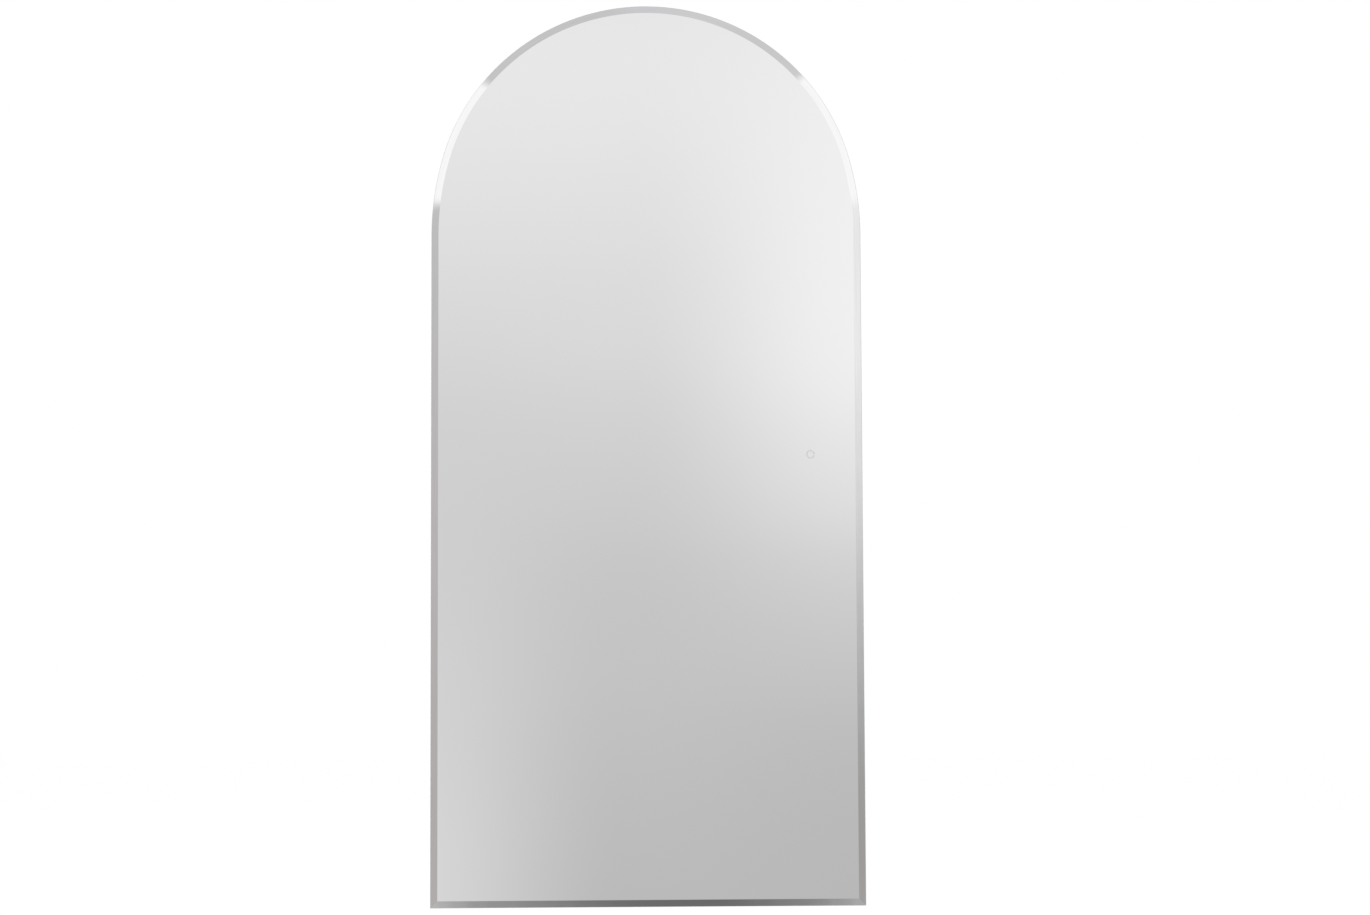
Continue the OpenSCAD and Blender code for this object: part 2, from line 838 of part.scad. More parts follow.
module driver_board() {
    color("darkgreen") hung() on_gear(driver_x) {
        translate([-board_l / 2, -board_w / 2, board_z]) cube([board_l, board_w, board_t]);
        for (x = [-1, 1], y = [-1, 1])
            translate([x * (board_l / 2 - 6), y * (board_w / 2 - 5), case_floor])
                cylinder(d = 6, h = board_z - case_floor);
    }
}

// Block on the driver's board, centred on its width, in shares of the board's length and width
module board_block(x, l, w, h) {
    translate([(x - l / 2) * board_l, -w / 2 * board_w, 0]) cube([l * board_l, w * board_w, h]);
}

// Can on the driver's board, in shares of the board's length and width
module board_can(x, y, d, h) {
    translate([x * board_l, y * board_w, 0]) cylinder(d = d * board_w, h = h);
}

// Transformer, capacitors, choke, heat sink and film capacitors on the driver's board, all of
// them under the rim of the lid
module driver_components() {
    top = board_z + board_t;
    room = driver_h - case_floor - lid_lip - top - 1;
    color("goldenrod") hung() on_gear(driver_x) translate([0, 0, top]) {
        board_block(0, 0.185, 0.64, room * 0.9);
        board_block(0, 0.25, 0.48, room * 0.6);
        for (side = [-1, 1]) {
            board_can(-0.26, side * 0.21, 0.27, room);
            board_can(0.24, side * 0.21, 0.22, room * 0.9);
        }
        difference() {
            board_can(-0.4, 0, 0.4, room * 0.6);
            translate([0, 0, -cut]) board_can(-0.4, 0, 0.16, room);
        }
        board_block(0.34, 0.03, 0.75, room * 0.85);
        for (x = [0.4, 0.44]) board_block(x, 0.012, 0.75, room * 0.6);
    }
}

// Terminal box, where the supply cable comes in through the lid

// Middle of the grommet, from the middle of the box
inlet_at = [-box_l / 4 - 2, 0];
lid_screw_at = [for (s = [-1, 1]) [s * (box_l / 2 - case_wall - 3.5), -s * (box_w / 2 - case_wall - 3.5)]];
inlet_seat_d = inlet_d + 6;
block_x = box_l / 4 - 3;
boss_h = box_h - case_floor - lid_lip - case_floor;
lid_screw_d = 2.5;

module terminal_box() {
    color("white") hung() on_gear(-box_x) difference() {
        union() {
            open_case(box_l, box_w, box_h - case_floor);
            for (turn = [90, -90]) rotate(turn) translate([box_w / 2, 0, 0]) ear();
            for (p = lid_screw_at)
                translate([p[0], p[1], case_floor / 2]) cylinder(d = 6, h = boss_h + case_floor / 2);
        }
        for (p = lid_screw_at) translate([p[0], p[1], case_floor])
            cylinder(d = lid_screw_d + 2 * fit_gap, h = box_h);
        translate([box_l / 2 - case_wall - cut, lead_split, lead_rise])
            rod_x(mains_d + 2 * fit_gap, case_wall + 2 * cut);
        translate([earth_x, -box_w / 2 - cut, earth_rise]) rotate([-90, 0, 0])
            cylinder(d = earth_d + 2 * fit_gap, h = case_wall + 2 * cut);
    }
}

module terminal_lid() {
    seat = inlet_seat_d + 2 * fit_gap;
    color("white") hung() on_gear(-box_x) difference() {
        union() {
            difference() {
                case_lid(box_l, box_w, box_h);
                for (p = lid_screw_at) translate([p[0], p[1], box_h - case_floor - lid_lip - cut])
                    cylinder(d = 8, h = lid_lip + cut);
            }
            for (p = lid_screw_at) translate([p[0], p[1], box_h - case_floor - lid_lip + fit_gap])
                cylinder(d = 6, h = lid_lip);
        }
        for (p = lid_screw_at) translate([p[0], p[1], 0])
            cylinder(d = lid_screw_d + 2 * fit_gap, h = box_h + cut);
        translate([inlet_at[0], inlet_at[1], box_h - case_floor - cut])
            cylinder(d = seat, h = case_floor + 2 * cut);
    }
}

module lid_screws() {
    color("dimgray") hung() on_gear(-box_x) for (p = lid_screw_at)
        translate([p[0], p[1], box_h]) mirror([0, 0, 1])
            pan_screw(lid_screw_d, box_h - case_floor - 2, head_d * 0.85, head_h * 0.8);
}

// Rubber grommet with a flange on each side of the lid
module inlet_grommet() {
    flange_t = 1.3;
    flange_d = inlet_seat_d + 4;
    under = box_h - case_floor - fit_gap;
    color("black") hung() on_gear(-box_x) translate([inlet_at[0], inlet_at[1], 0])
        difference() {
            union() {
                translate([0, 0, under - flange_t]) cylinder(d = flange_d, h = flange_t);
                translate([0, 0, under]) cylinder(d = inlet_seat_d, h = case_floor + 2 * fit_gap);
                translate([0, 0, box_h + fit_gap]) cylinder(d1 = flange_d, d2 = flange_d - 1, h = flange_t);
            }
            cylinder(d = inlet_d, h = 2 * box_h);
        }
}

block_l = 18;
block_h = 12;
wire_z = lead_rise;

// Terminal block, with a pole for each core and its clamp screws towards the wall
module terminal_block() {
    color("whitesmoke") hung() on_gear(-box_x + block_x) difference() {
        translate([0, 0, case_floor]) for (i = [0:poles - 1]) {
            y = (i - (poles - 1) / 2) * pole_pitch;
            translate([-block_l / 2, y - pole_pitch * 0.42, 0])
                cube([block_l, pole_pitch * 0.84, block_h]);
            translate([-3, y - pole_pitch / 2, 0]) cube([6, pole_pitch, block_h * 0.6]);
        }
        for (i = [0:poles - 1]) translate([0, (i - (poles - 1) / 2) * pole_pitch, 0]) {
            translate([-block_l / 2 - cut, 0, wire_z]) rod_x(3.6, block_l + 2 * cut);
            for (x = [-1, 1]) translate([x * block_l / 4, 0, wire_z])
                cylinder(d = 4.2, h = block_h);
        }
    }
}

module clamp_screws() {
    color("goldenrod") hung() on_gear(-box_x + block_x)
        for (i = [0:poles - 1], x = [-1, 1])
            translate([x * block_l / 4, (i - (poles - 1) / 2) * pole_pitch, wire_z + core_d / 2 + 0.1])
                difference() {
                    cylinder(d = 4, h = 4.5);
                    translate([-2.5, -0.4, 3.5]) cube([5, 0.8, 2]);
                }
}

// Earth lead from the last pole to a tag under a screw on the gear plate
earth_d = 2.6;
earth_rise = 5;
earth_x = block_x + block_l / 2 + 5;
tag_z = earth_d / 2 + 0.6;
last_pole_y = -pole_pitch * (poles - 1) / 2;
earth_route = [
    [-box_x + block_x + block_l / 2 - 2, last_pole_y, wire_z],
    [-box_x + earth_x, last_pole_y, wire_z],
    [-box_x + earth_x, -box_w / 2 + case_wall + 2, earth_rise],
    [-box_x + earth_x, earth_at[1], earth_rise],
    [earth_at[0] - 16, earth_at[1], tag_z],
    [earth_at[0] - 10, earth_at[1], tag_z]
];

module earth_lead() {
    color("yellowgreen") hung() on_gear() lead(earth_route, earth_d, 2.5);
}

module earth_tag() {
    color("silver") hung() on_gear(earth_at[0], earth_at[1]) difference() {
        union() {
            cylinder(d = 9, h = tag_t);
            translate([-8, -2, 0]) cube([6, 4, tag_t]);
            translate([-12, 0, tag_z]) rod_x(earth_d + 1.2, 5);
        }
        translate([0, 0, -cut]) cylinder(d = screw_hole_d, h = 6);
        translate([-12 - cut, 0, tag_z]) rod_x(earth_d + 2 * fit_gap, 5);
        translate([-20, -5, -3]) cube([30, 10, 3]);
    }
}

module earth_screw() {
    color("dimgray") hung() on_gear(earth_at[0], earth_at[1]) {
        translate([0, 0, tag_t]) difference() {
            cylinder(d = 7, h = washer_t);
            translate([0, 0, -cut]) cylinder(d = screw_hole_d, h = 3);
        }
        translate([0, 0, tag_t + washer_t]) mirror([0, 0, 1])
            pan_screw(screw_d, tag_t + washer_t + gear_t, head_d, head_h * 1.2);
    }
}

// Leads that the part holds all the way

// Sheathed lead from the terminal box to the driver, and its cores to the first two poles
module mains_lead() {
    from = -box_x + box_l / 2 - case_wall - 1;
    to = driver_x - driver_l / 2 + case_wall + 1;
    block_end = -box_x + block_x + block_l / 2 - 3;
    color("white") hung() on_gear() {
        translate([from, lead_split, lead_rise]) rod_x(mains_d, to - from);
        for (i = [0, 1]) lead([
            [from + 0.5, lead_split + (0.6 - 1.2 * i) * core_d, lead_rise],
            [from - 3, lead_split + (0.6 - 1.2 * i) * core_d, lead_rise],
            [block_end + 5, -last_pole_y - i * pole_pitch, wire_z],
            [block_end, -last_pole_y - i * pole_pitch, wire_z]
        ], core_d, 1.2, 8);
    }
}

light_run_x = mid_r - flange_w / 2 - 14;
light_route = [
    [driver_x + driver_l / 2 - case_wall, gear_y - lead_split, lead_z],
    [gear_w / 2 + lead_run / 3, gear_y - lead_split, lead_z],
    [gear_w / 2 + lead_run, gear_y - lead_split, laid_z],
    [light_run_x, gear_y - lead_split, laid_z],
    [light_run_x, brace_y - 4, laid_z],
    [light_run_x, brace_y - lead_drop, channel_z],
    [light_run_x, feed_y, channel_z],
    [strip_r + 1.8, feed_y, channel_z]
];

// Lead from the driver through the right leg's wall, and its cores to the two strips
module light_lead() {
    core_x = strip_r + strip_t + core_d / 2 + 0.2;
    core_y = strip_y - strip_t - core_d / 2 - 0.2;
    color("white") hung() {
        lead(light_route, lead_d, 9);
        for (s = [-1, 1]) {
            lead([
                [strip_r + 1.6, feed_y, channel_z + s],
                [strip_r + 1.6, feed_y + 6, channel_z + s * 1.6],
                [core_x, strip_y + strip_gap - 2, channel_z + s * 2.5],
                [core_x, strip_y + strip_gap + 3, channel_z + s * 2.5]
            ], core_d, 2, 8);
            lead([
                [strip_r + 1.6, feed_y, channel_z + s],
                [strip_r + 1.6, core_y, channel_z + s * 2.5],
                [strip_r - strip_gap - 3, core_y, channel_z + s * 2.5]
            ], core_d, 1.2, 8);
        }
    }
}

sensor_route = [
    [driver_x + driver_l / 2 - case_wall, gear_y + lead_split, lead_z],
    [gear_w / 2 + lead_run / 3, gear_y + lead_split, lead_z],
    [gear_w / 2 + lead_run, gear_y + lead_split, laid_z],
    [touch_x, gear_y + lead_split, laid_z],
    [touch_x, touch_y - sensor_h / 2 + 1, laid_z]
];

module sensor_lead() {
    color("white") hung() lead(sensor_route, lead_d, 9);
}

// Rubber grommet round the light lead where it passes the leg's wall
module feed_grommet() {
    flange_t = 1;
    color("black") hung() translate([inner_r, feed_y, channel_z]) difference() {
        union() {
            translate([-flange_t - fit_gap, 0, 0]) rod_x(feed_d + 3, flange_t);
            translate([-fit_gap, 0, 0]) rod_x(feed_d - 2 * fit_gap, wall_t + 2 * fit_gap);
            translate([wall_t + fit_gap, 0, 0]) rod_x(feed_d + 2, flange_t * 0.6);
        }
        translate([-5, 0, 0]) rod_x(lead_d + 2 * fit_gap, 10);
    }
}

// Clip on an adhesive pad, drawn on the back of the glass round a lead that runs along Y
module lead_clip() {
    post = lead_d + 3;
    axis = glass_z - laid_z;
    difference() {
        union() {
            linear_extrude(clip_pad_t) round_rect(clip_pad, clip_pad, 2);
            translate([-post / 2, -post / 2, 0]) cube([post, post, axis]);
            translate([0, post / 2, axis]) rotate([90, 0, 0]) cylinder(d = post, h = post);
        }
        translate([0, clip_pad, axis]) rotate([90, 0, 0])
            cylinder(d = lead_d + 2 * fit_gap, h = 2 * clip_pad);
    }
}

module lead_clips() {
    sensor_top = touch_y - sensor_h / 2;
    gear_top = gear_y + gear_h / 2;
    color("white") hung() {
        for (t = [0.3, 0.75])
            rearward([touch_x, gear_top + t * (sensor_top - gear_top), glass_z]) lead_clip();
        rearward([light_run_x, (gear_y + brace_y + bar_h) / 2, glass_z]) lead_clip();
        for (y = [-lead_split, lead_split])
            rearward([gear_w / 2 + lead_run + clip_pad, gear_y + y, glass_z]) rotate(90) lead_clip();
    }
}

// Touch sensor on the back of the glass, behind the etched ring

module sensor_case() {
    wall = 1.5;
    color("white") hung() rearward([touch_x, touch_y, glass_z]) difference() {
        linear_extrude(sensor_d) round_rect(sensor_w, sensor_h, 3);
        translate([0, 0, -cut]) linear_extrude(sensor_d - wall + cut)
            round_rect(sensor_w - 2 * wall, sensor_h - 2 * wall, 2);
        translate([0, -sensor_h / 2 + wall + cut, glass_z - laid_z]) rotate([90, 0, 0])
            cylinder(d = lead_d + 2 * fit_gap, h = wall + 2 * cut);
    }
}

// Sensor board with a sprung pad that presses on the glass inside the ring
module sensor_board() {
    board_at = 4;
    inside_w = sensor_w - 3.4;
    inside_h = sensor_h - 3.4;
    color("darkgreen") hung() rearward([touch_x, touch_y, glass_z]) {
        translate([0, 0, board_at]) linear_extrude(1.2) round_rect(inside_w, inside_h, 2);
        difference() {
            cylinder(d = ring_d - 2 * ring_line, h = board_at);
            translate([0, 0, 0.6]) cylinder(d = ring_d - 2 * ring_line - 2, h = board_at);
        }
        translate([-5, 8, board_at + 1.2]) cube([10, 7, 1.2]);
    }
}

wall_rail();
mirror_glass();
mounting_tape();
chassis_arch();
chassis_leg_left();
chassis_leg_right();
chassis_bottom();
diffuser_arch();
diffuser_leg_left();
diffuser_leg_right();
diffuser_bottom();
light_strip();
light_chips();
splice_plates();
corner_plates();
plate_screws();
hanger_bar();
lower_brace();
bar_screws();
wall_bumpers();
gear_plate();
gear_pads();
gear_screws();
driver_case();
driver_lid();
driver_board();
driver_components();
terminal_box();
terminal_lid();
lid_screws();
terminal_block();
clamp_screws();
inlet_grommet();
earth_tag();
earth_screw();
mains_lead();
earth_lead();
light_lead();
sensor_lead();
lead_clips();
feed_grommet();
sensor_case();
sensor_board();
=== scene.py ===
# %% [markdown]
# # Arched wall mirror with a hidden light channel
# A frameless mirror hangs a few centimetres off the wall. Its glass has an arched top, a thin
# polished bevel and a small etched ring to touch. Behind the glass an aluminium channel holds a
# light strip, and a plate holds the driver and the terminal box. The solids come from the CAD
# model, in metres, and this lesson dresses them: it gives each one its finish and remakes the
# few pieces that need smoother shapes than the solids have.

# %% Load the solids
import math

import bmesh
import bpy
from mathutils import Matrix, Vector


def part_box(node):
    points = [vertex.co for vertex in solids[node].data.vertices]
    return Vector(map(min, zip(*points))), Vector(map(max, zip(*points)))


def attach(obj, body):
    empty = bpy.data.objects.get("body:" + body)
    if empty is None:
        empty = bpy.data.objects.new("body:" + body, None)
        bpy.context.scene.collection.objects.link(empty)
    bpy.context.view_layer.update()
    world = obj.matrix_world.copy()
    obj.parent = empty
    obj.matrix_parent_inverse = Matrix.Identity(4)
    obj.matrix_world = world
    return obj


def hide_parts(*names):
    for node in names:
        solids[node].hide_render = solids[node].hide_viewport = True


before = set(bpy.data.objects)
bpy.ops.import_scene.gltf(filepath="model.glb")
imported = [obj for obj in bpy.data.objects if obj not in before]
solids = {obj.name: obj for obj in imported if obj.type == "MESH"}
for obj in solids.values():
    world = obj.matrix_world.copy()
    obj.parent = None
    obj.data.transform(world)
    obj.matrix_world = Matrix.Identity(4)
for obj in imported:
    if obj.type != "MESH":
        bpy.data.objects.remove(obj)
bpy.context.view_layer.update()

# %% [markdown]
# ## Camera
# The photograph looks at the mirror nearly square on, from a little over two and a half metres,
# with the camera tipped up by less than three degrees. A camera can be placed by eye, by
# matching vanishing points, or by solving for the corners of the glass. Solving was chosen,
# because a flat object has no other depth to go by, and here are the solved numbers. The small
# function before them puts an object into the scene, and every later step uses it.

# %% Objects in the scene
def added(name, data):
    """A new object, put into the scene."""
    made = bpy.data.objects.new(name, data)
    bpy.context.scene.collection.objects.link(made)
    return made


# %% Camera
stand_at = Vector((0.0187, -2.6790, -0.3533))
yaw, pitch, roll = (math.radians(d) for d in (-0.741, 2.755, 0.250))
turn = Matrix.Rotation(yaw, 3, "Z") @ Matrix.Rotation(pitch, 3, "X") @ Matrix.Rotation(roll, 3, "Y")
level = Matrix.Rotation(math.radians(90), 3, "X")  # from looking down to looking at the wall
camera = added("camera", bpy.data.cameras.new("camera"))
camera.data.lens, camera.data.sensor_width = 50, 36
camera.data.clip_start, camera.data.clip_end = 0.05, 60
camera.matrix_world = Matrix.LocRotScale(stand_at, turn @ level, None)
bpy.context.scene.camera = camera
bpy.context.scene.view_settings.view_transform = "Standard"
print("camera stands", round(-stand_at.y, 3), "m in front of the wall")

# %% [markdown]
# ## A short way to write node trees
# Materials, the light around the mirror and the swept leads are all node trees. They could be
# wired link by link, but sums soon become unreadable that way. Here a Wire wraps one socket, and
# adding or multiplying wires adds the Math node, so a mask reads like a formula. Every other
# node comes from the one method `node` of the Plan that holds the tree.

# %% Wires and plans
class Wire:
    """One output socket. Sums on wires add Math nodes to their plan."""

    def __init__(self, plan, socket):
        self.plan, self.socket = plan, socket

    def other(self, name):
        return Wire(self.plan, self.socket.node.outputs[name])

    def math(self, operation, *values):
        return self.plan.node("ShaderNodeMath", {"operation": operation}, dict(enumerate(values)))

    def __add__(self, value):
        return self.math("ADD", self, value)

    def __sub__(self, value):
        return self.math("SUBTRACT", self, value)

    def __rsub__(self, value):
        return self.math("SUBTRACT", value, self)

    def __mul__(self, value):
        return self.math("MULTIPLY", self, value)

    def __truediv__(self, value):
        return self.math("DIVIDE", self, value)

    def __abs__(self):
        return self.math("ABSOLUTE", self)

    __radd__, __rmul__ = __add__, __mul__


class Plan:
    """A node tree being built."""

    def __init__(self, tree):
        self.tree = tree
        tree.nodes.clear()

    def node(self, kind, settings=None, sockets=None, out=0):
        made = self.tree.nodes.new(kind)
        for name, value in (settings or {}).items():
            if name == "stops":
                while len(made.color_ramp.elements) < len(value):
                    made.color_ramp.elements.new(1)
                for stop, (place, tone) in zip(made.color_ramp.elements, value):
                    stop.position = place
                    stop.color = (*tone, 1) if isinstance(tone, tuple) else (tone, tone, tone, 1)
            elif name == "ramp":
                made.color_ramp.interpolation = value
            else:
                setattr(made, name, value)
        for name, value in (sockets or {}).items():
            if isinstance(value, Wire):
                self.tree.links.new(value.socket, made.inputs[name])
            else:
                made.inputs[name].default_value = value
        return Wire(self, made.outputs[out]) if len(made.outputs) else made

    def fade(self, value, low, high):
        """Goes smoothly from 0 to 1 as value goes from low to high."""
        return self.node("ShaderNodeMapRange", {"interpolation_type": "SMOOTHSTEP"},
                         {"Value": value, "From Min": low, "From Max": high})

    def split(self, value):
        """The first part of a vector or colour. Its other parts are found with other()."""
        return self.node("ShaderNodeSeparateXYZ", {}, {0: value}, "X")

    def mix(self, share, first, second):
        """Mixes two colours."""
        return self.node("ShaderNodeMix", {"data_type": "RGBA"}, {0: share, 6: first, 7: second}, 2)


def colour(red, green, blue):
    return (red, green, blue, 1.0)


def grey(light):
    return colour(light, light, light)


def light_of(tone):
    """The light that shows as a tone from 0 to 255 on the screen."""
    return ((tone / 255 + 0.055) / 1.055) ** 2.4


print("a tone of 200 is a light of", round(light_of(200), 3))

# %% [markdown]
# ## What the mirror sees
# A mirror has next to no colour of its own: all its tones come from the room it faces. So the
# studio is painted in the world, by direction: a pale ceiling, a floor that darkens downwards,
# a brighter side on the right, one tall softbox on each side, and a dark spot low in front, where
# the camera's stand is. The ceiling is a little blue and the low walls are a little warm. A real
# room could be modelled in place of it, but a map by direction is quicker to tune and casts no
# shadows of its own.

# %% Directions
world = bpy.data.worlds.new("studio")
world.use_nodes = True
bpy.context.scene.world = world
sky = Plan(world.node_tree)
across = sky.split(sky.node("ShaderNodeTexCoord", out="Generated"))
depth, up = across.other("Y"), across.other("Z")
azimuth = across.math("ARCTAN2", across, abs(depth)) * (180 / math.pi)
elevation = up.math("ARCSINE", up) * (180 / math.pi)

# %% Tones by height
ramp_reach = 45  # degrees up and down that a ramp of tones spans
silver_keeps = 0.96  # the share of light that the silver gives back


def seen_as(tone):
    """The light in the room that shows as a tone in the silver."""
    return light_of(tone) / silver_keeps


def by_height(*stops):
    """Light by elevation, from pairs of degrees and the tone, or its red, green and blue."""
    places = []
    for height, tone in stops:
        tones = tone if isinstance(tone, tuple) else (tone, tone, tone)
        place = (height + ramp_reach) / (2 * ramp_reach)
        places.append((place, tuple(seen_as(part) for part in tones)))
    print(len(stops), "tones from", stops[0][0], "to", stops[-1][0], "degrees up")
    return sky.node("ShaderNodeValToRGB", {"stops": places, "ramp": "CARDINAL"},
                    {0: (elevation + ramp_reach) / (2 * ramp_reach)})


# %% Front of the room
middle = by_height((-40, 190), (-12, 185), (-5, 193), (0, 200), (5, 213), (9, 222), (16, 230),
                   (30, (203, 203, 207)))
right = by_height((-40, 190), (-12, 184), (-5, 191), (0, 213), (4, 234), (8, 240), (16, 233),
                  (30, 205))
left = by_height((-40, 190), (-12, 214), (-5, 211), (1, 207), (5, 211), (9, 222), (16, 230),
                 (30, 198))
right_wall = by_height((-40, 190), (-10, (160, 158, 156)), (-5, 167), (0, 201), (5, 228),
                       (7.5, 232), (9, 230), (13, 231), (30, 203))
left_wall = by_height((-40, 190), (-10, (175, 172, 171)), (0, (182, 178, 179)), (10, 189),
                      (30, 196))
room = sky.mix(sky.fade(azimuth, -1.0, 6.3), middle, right)
room = sky.mix(sky.fade(azimuth, -1.0, -8.0), room, left)
room = sky.mix(sky.fade(azimuth, 8.0, 20.0), room, right_wall)
room = sky.mix(sky.fade(azimuth, -11.0, -24.0), room, left_wall)

# %% The camera's stand
stand_tone = 106
stand_left = sky.fade(azimuth, -9.6, -5.8) * 0.62 + sky.fade(azimuth, -7.0, 0.0) * 0.38
stand_right = sky.fade(azimuth, 8.8, 5.0) * 0.7 + sky.fade(azimuth, 6.4, 1.8) * 0.3
stand = (stand_left * stand_right * sky.fade(elevation, -26.5, -32.0)
         * sky.fade(elevation, -43.0, -36.5) * sky.fade(depth, 0.2, -0.2))
room = sky.mix(stand, room, grey(seen_as(stand_tone)))
print("the camera's stand shows as a tone of", stand_tone)

# %% Back of the room, and the floor near the wall
dark_side = colour(0.16, 0.16, 0.165)
floor_tone = 226
behind = by_height((-45, 128), (-22, 160), (-6, 186), (0, 208), (6, 232), (20, 222), (32, 248),
                   (45, 215))
behind = sky.mix(sky.fade(azimuth, -55.0, 40.0), sky.mix(0.35, behind, dark_side), behind)
room = sky.mix(sky.fade(depth, -0.05, 0.2), room, behind)
room = sky.mix(sky.fade(elevation, -40.0, -80.0), room, grey(seen_as(floor_tone)))

# %% Softboxes
softbox_tone = 252
softbox = (sky.fade(abs(azimuth), 11.0, 12.5) * sky.fade(abs(azimuth), 52.0, 46.0)
           * sky.fade(elevation, 11.9, 13.8) * sky.fade(elevation - azimuth * 0.016, 29.6, 28.2))
room = sky.mix(softbox, room, grey(light_of(softbox_tone)))
print("softboxes from 13 to 29 degrees up, 12 to 50 degrees to each side")

# %% [markdown]
# ### Which rays see the studio
# Only a glossy ray, one that comes off a mirror or a metal, finds the painted studio. A ray
# that goes straight from the camera finds plain white, so the background stays clean, and soft
# surfaces get the same plain light from all sides.

# %% Which rays see what
plain_light = 0.62
rays = sky.node("ShaderNodeLightPath", out="Is Camera Ray")
straight = rays.math("MAXIMUM", rays, rays.other("Is Transmission Ray"))
seen = sky.mix(rays.other("Is Glossy Ray"), grey(plain_light), room)
seen = sky.mix(straight, seen, grey(1))
sky.node("ShaderNodeOutputWorld", {}, {0: sky.node("ShaderNodeBackground", {}, {"Color": seen})})
print("the studio is painted by", len(sky.tree.nodes), "nodes")

# %% [markdown]
# ## Lamps and floor
# Soft surfaces, such as the cases on the back, need some direction in their light to look round.
# Wide area lamps in front and behind give it, at a level at which a white case stays below
# white. They don't show in the mirror, because the painted studio already has its softboxes.
# The floor is pale and lies below the mirror, as under any wall mirror.

# %% Lamps
mirror_middle = Vector((0, 0, -0.25))


def lamp(name, place, size, power):
    """A square lamp of a size in metres and a power in watts that faces the mirror."""
    made = added(name, bpy.data.lights.new(name, "AREA"))
    made.data.shape, made.data.size, made.data.energy = "SQUARE", size, power
    made.location = place
    made.rotation_euler = (mirror_middle - Vector(place)).to_track_quat("-Z", "Y").to_euler()
    made.visible_glossy = False
    made.visible_camera = False
    print(name, power, "W")


lamp("front_left", (-2.0, -2.6, 1.9), 2.2, 52)
lamp("front_right", (2.6, -1.8, 0.6), 1.8, 20)
lamp("rear_left", (-1.9, 2.5, 1.9), 1.6, 36)
lamp("rear_right", (2.4, 2.0, 0.5), 1.8, 10)

# %% Floor
floor_z, half_floor = -1.3, 6
sides = ((-1, -1), (1, -1), (1, 1), (-1, 1))
mesh = bpy.data.meshes.new("floor")
mesh.from_pydata([(x * half_floor, y * half_floor, floor_z) for x, y in sides], [], [range(4)])
floor = added("floor", mesh)
floor.visible_glossy = False
ground = bpy.data.materials.new("pale_floor")
ground.use_nodes = True
plan = Plan(ground.node_tree)
matt = plan.node("ShaderNodeBsdfDiffuse", {}, {"Color": grey(0.86)})
glow = plan.node("ShaderNodeEmission", {}, {"Color": grey(1), "Strength": 1.02})
straight = plan.node("ShaderNodeLightPath", out="Is Camera Ray")
pale = plan.node("ShaderNodeMixShader", {}, {0: straight * 0.95, 1: matt, 2: glow})
under = plan.node("ShaderNodeNewGeometry", out="Backfacing")
clear = plan.node("ShaderNodeBsdfTransparent")
pale = plan.node("ShaderNodeMixShader", {}, {0: under, 1: pale, 2: clear})
plan.node("ShaderNodeOutputMaterial", {}, {0: pale})
mesh.materials.append(ground)
print("floor at", floor_z, "m, clear from below")

# %% [markdown]
# ## Finishes
# Each finish is a small recipe: a colour that drifts a little, a roughness that drifts with it,
# and a bump at the true scale of its grain. All patterns read the object's own coordinates in
# metres, so a noise scale of 1000 is a grain of a millimetre. Painted images could do the same,
# but they would need a laid-out surface for each of forty solids.

# %% A finish
class Finish(Plan):
    """A material that ends in one Principled shader and reads the piece's own coordinates."""

    def __init__(self, name):
        self.material = bpy.data.materials.new(name)
        self.material.use_nodes = True
        super().__init__(self.material.node_tree)
        self.at = self.node("ShaderNodeTexCoord", out="Object")

    def stretched(self, across, wide, high):
        """The place, scaled by a number each way, in bumps per metre."""
        return self.node("ShaderNodeMapping", {}, {
            "Vector": self.at, "Scale": (across, wide, high)})

    def noise(self, scale, detail=2.0, at=None, rough=0.5):
        return self.node("ShaderNodeTexNoise", {}, {
            "Vector": at or self.at, "Scale": scale, "Detail": detail, "Roughness": rough})

    def cells(self, scale, out=0):
        return self.node("ShaderNodeTexVoronoi", {}, {"Vector": self.at, "Scale": scale}, out)

    def bump(self, height, distance):
        return self.node("ShaderNodeBump", {}, {"Height": height, "Distance": distance})

    def done(self, **sockets):
        """Wires the shader up, with sockets named as on the shader and _ for a space."""
        names = {name.replace("_", " "): value for name, value in sockets.items()}
        shader = self.node("ShaderNodeBsdfPrincipled", {}, names)
        self.node("ShaderNodeOutputMaterial", {}, {0: shader})
        print(self.material.name, "is made of", len(self.tree.nodes), "nodes")
        return self.material


def dress(material, *names):
    """Puts a finish on CAD solids, through their material slots."""
    for name in names:
        for slot in solids[name].material_slots:
            slot.material = material
    print(material.name, "on", ", ".join(names))


# %% [markdown]
# ### Silver and edge of the glass
# On the real mirror the silver lies behind five millimetres of glass. Glass in front of a metal
# layer would be the true build, but it doubles every ray and shifts nothing that shows here. So
# the front itself is a very smooth metal, and the edge of the sheet shows the green of the glass.

# %% Silver
recipe = Finish("silvered_glass")
haze = recipe.noise(7.0, 3.0)
silver = recipe.done(
    Base_Color=recipe.mix(haze, colour(0.957, 0.956, 0.957), colour(0.965, 0.964, 0.965)),
    Metallic=1.0, Roughness=haze * 0.012)

# %% Ground edge of the sheet
recipe = Finish("glass_edge")
grain = recipe.noise(1.0, 2.0, recipe.stretched(60, 9000, 60))
tint = recipe.noise(9.0)
edge_glass = recipe.done(
    Base_Color=recipe.mix(tint, colour(0.36, 0.50, 0.45), colour(0.45, 0.60, 0.54)),
    Roughness=grain * 0.2 + 0.12, Normal=recipe.bump(grain, 0.00002),
    Coat_Weight=0.6, Coat_Roughness=0.08)

# %% Arris, the thin line where the bevel meets the edge
recipe = Finish("ground_arris")
grain = recipe.noise(1800.0)
arris_glass = recipe.done(
    Base_Color=recipe.mix(grain, colour(0.42, 0.44, 0.44), colour(0.58, 0.60, 0.60)),
    Roughness=grain * 0.2 + 0.25, Normal=recipe.bump(grain, 0.00003))

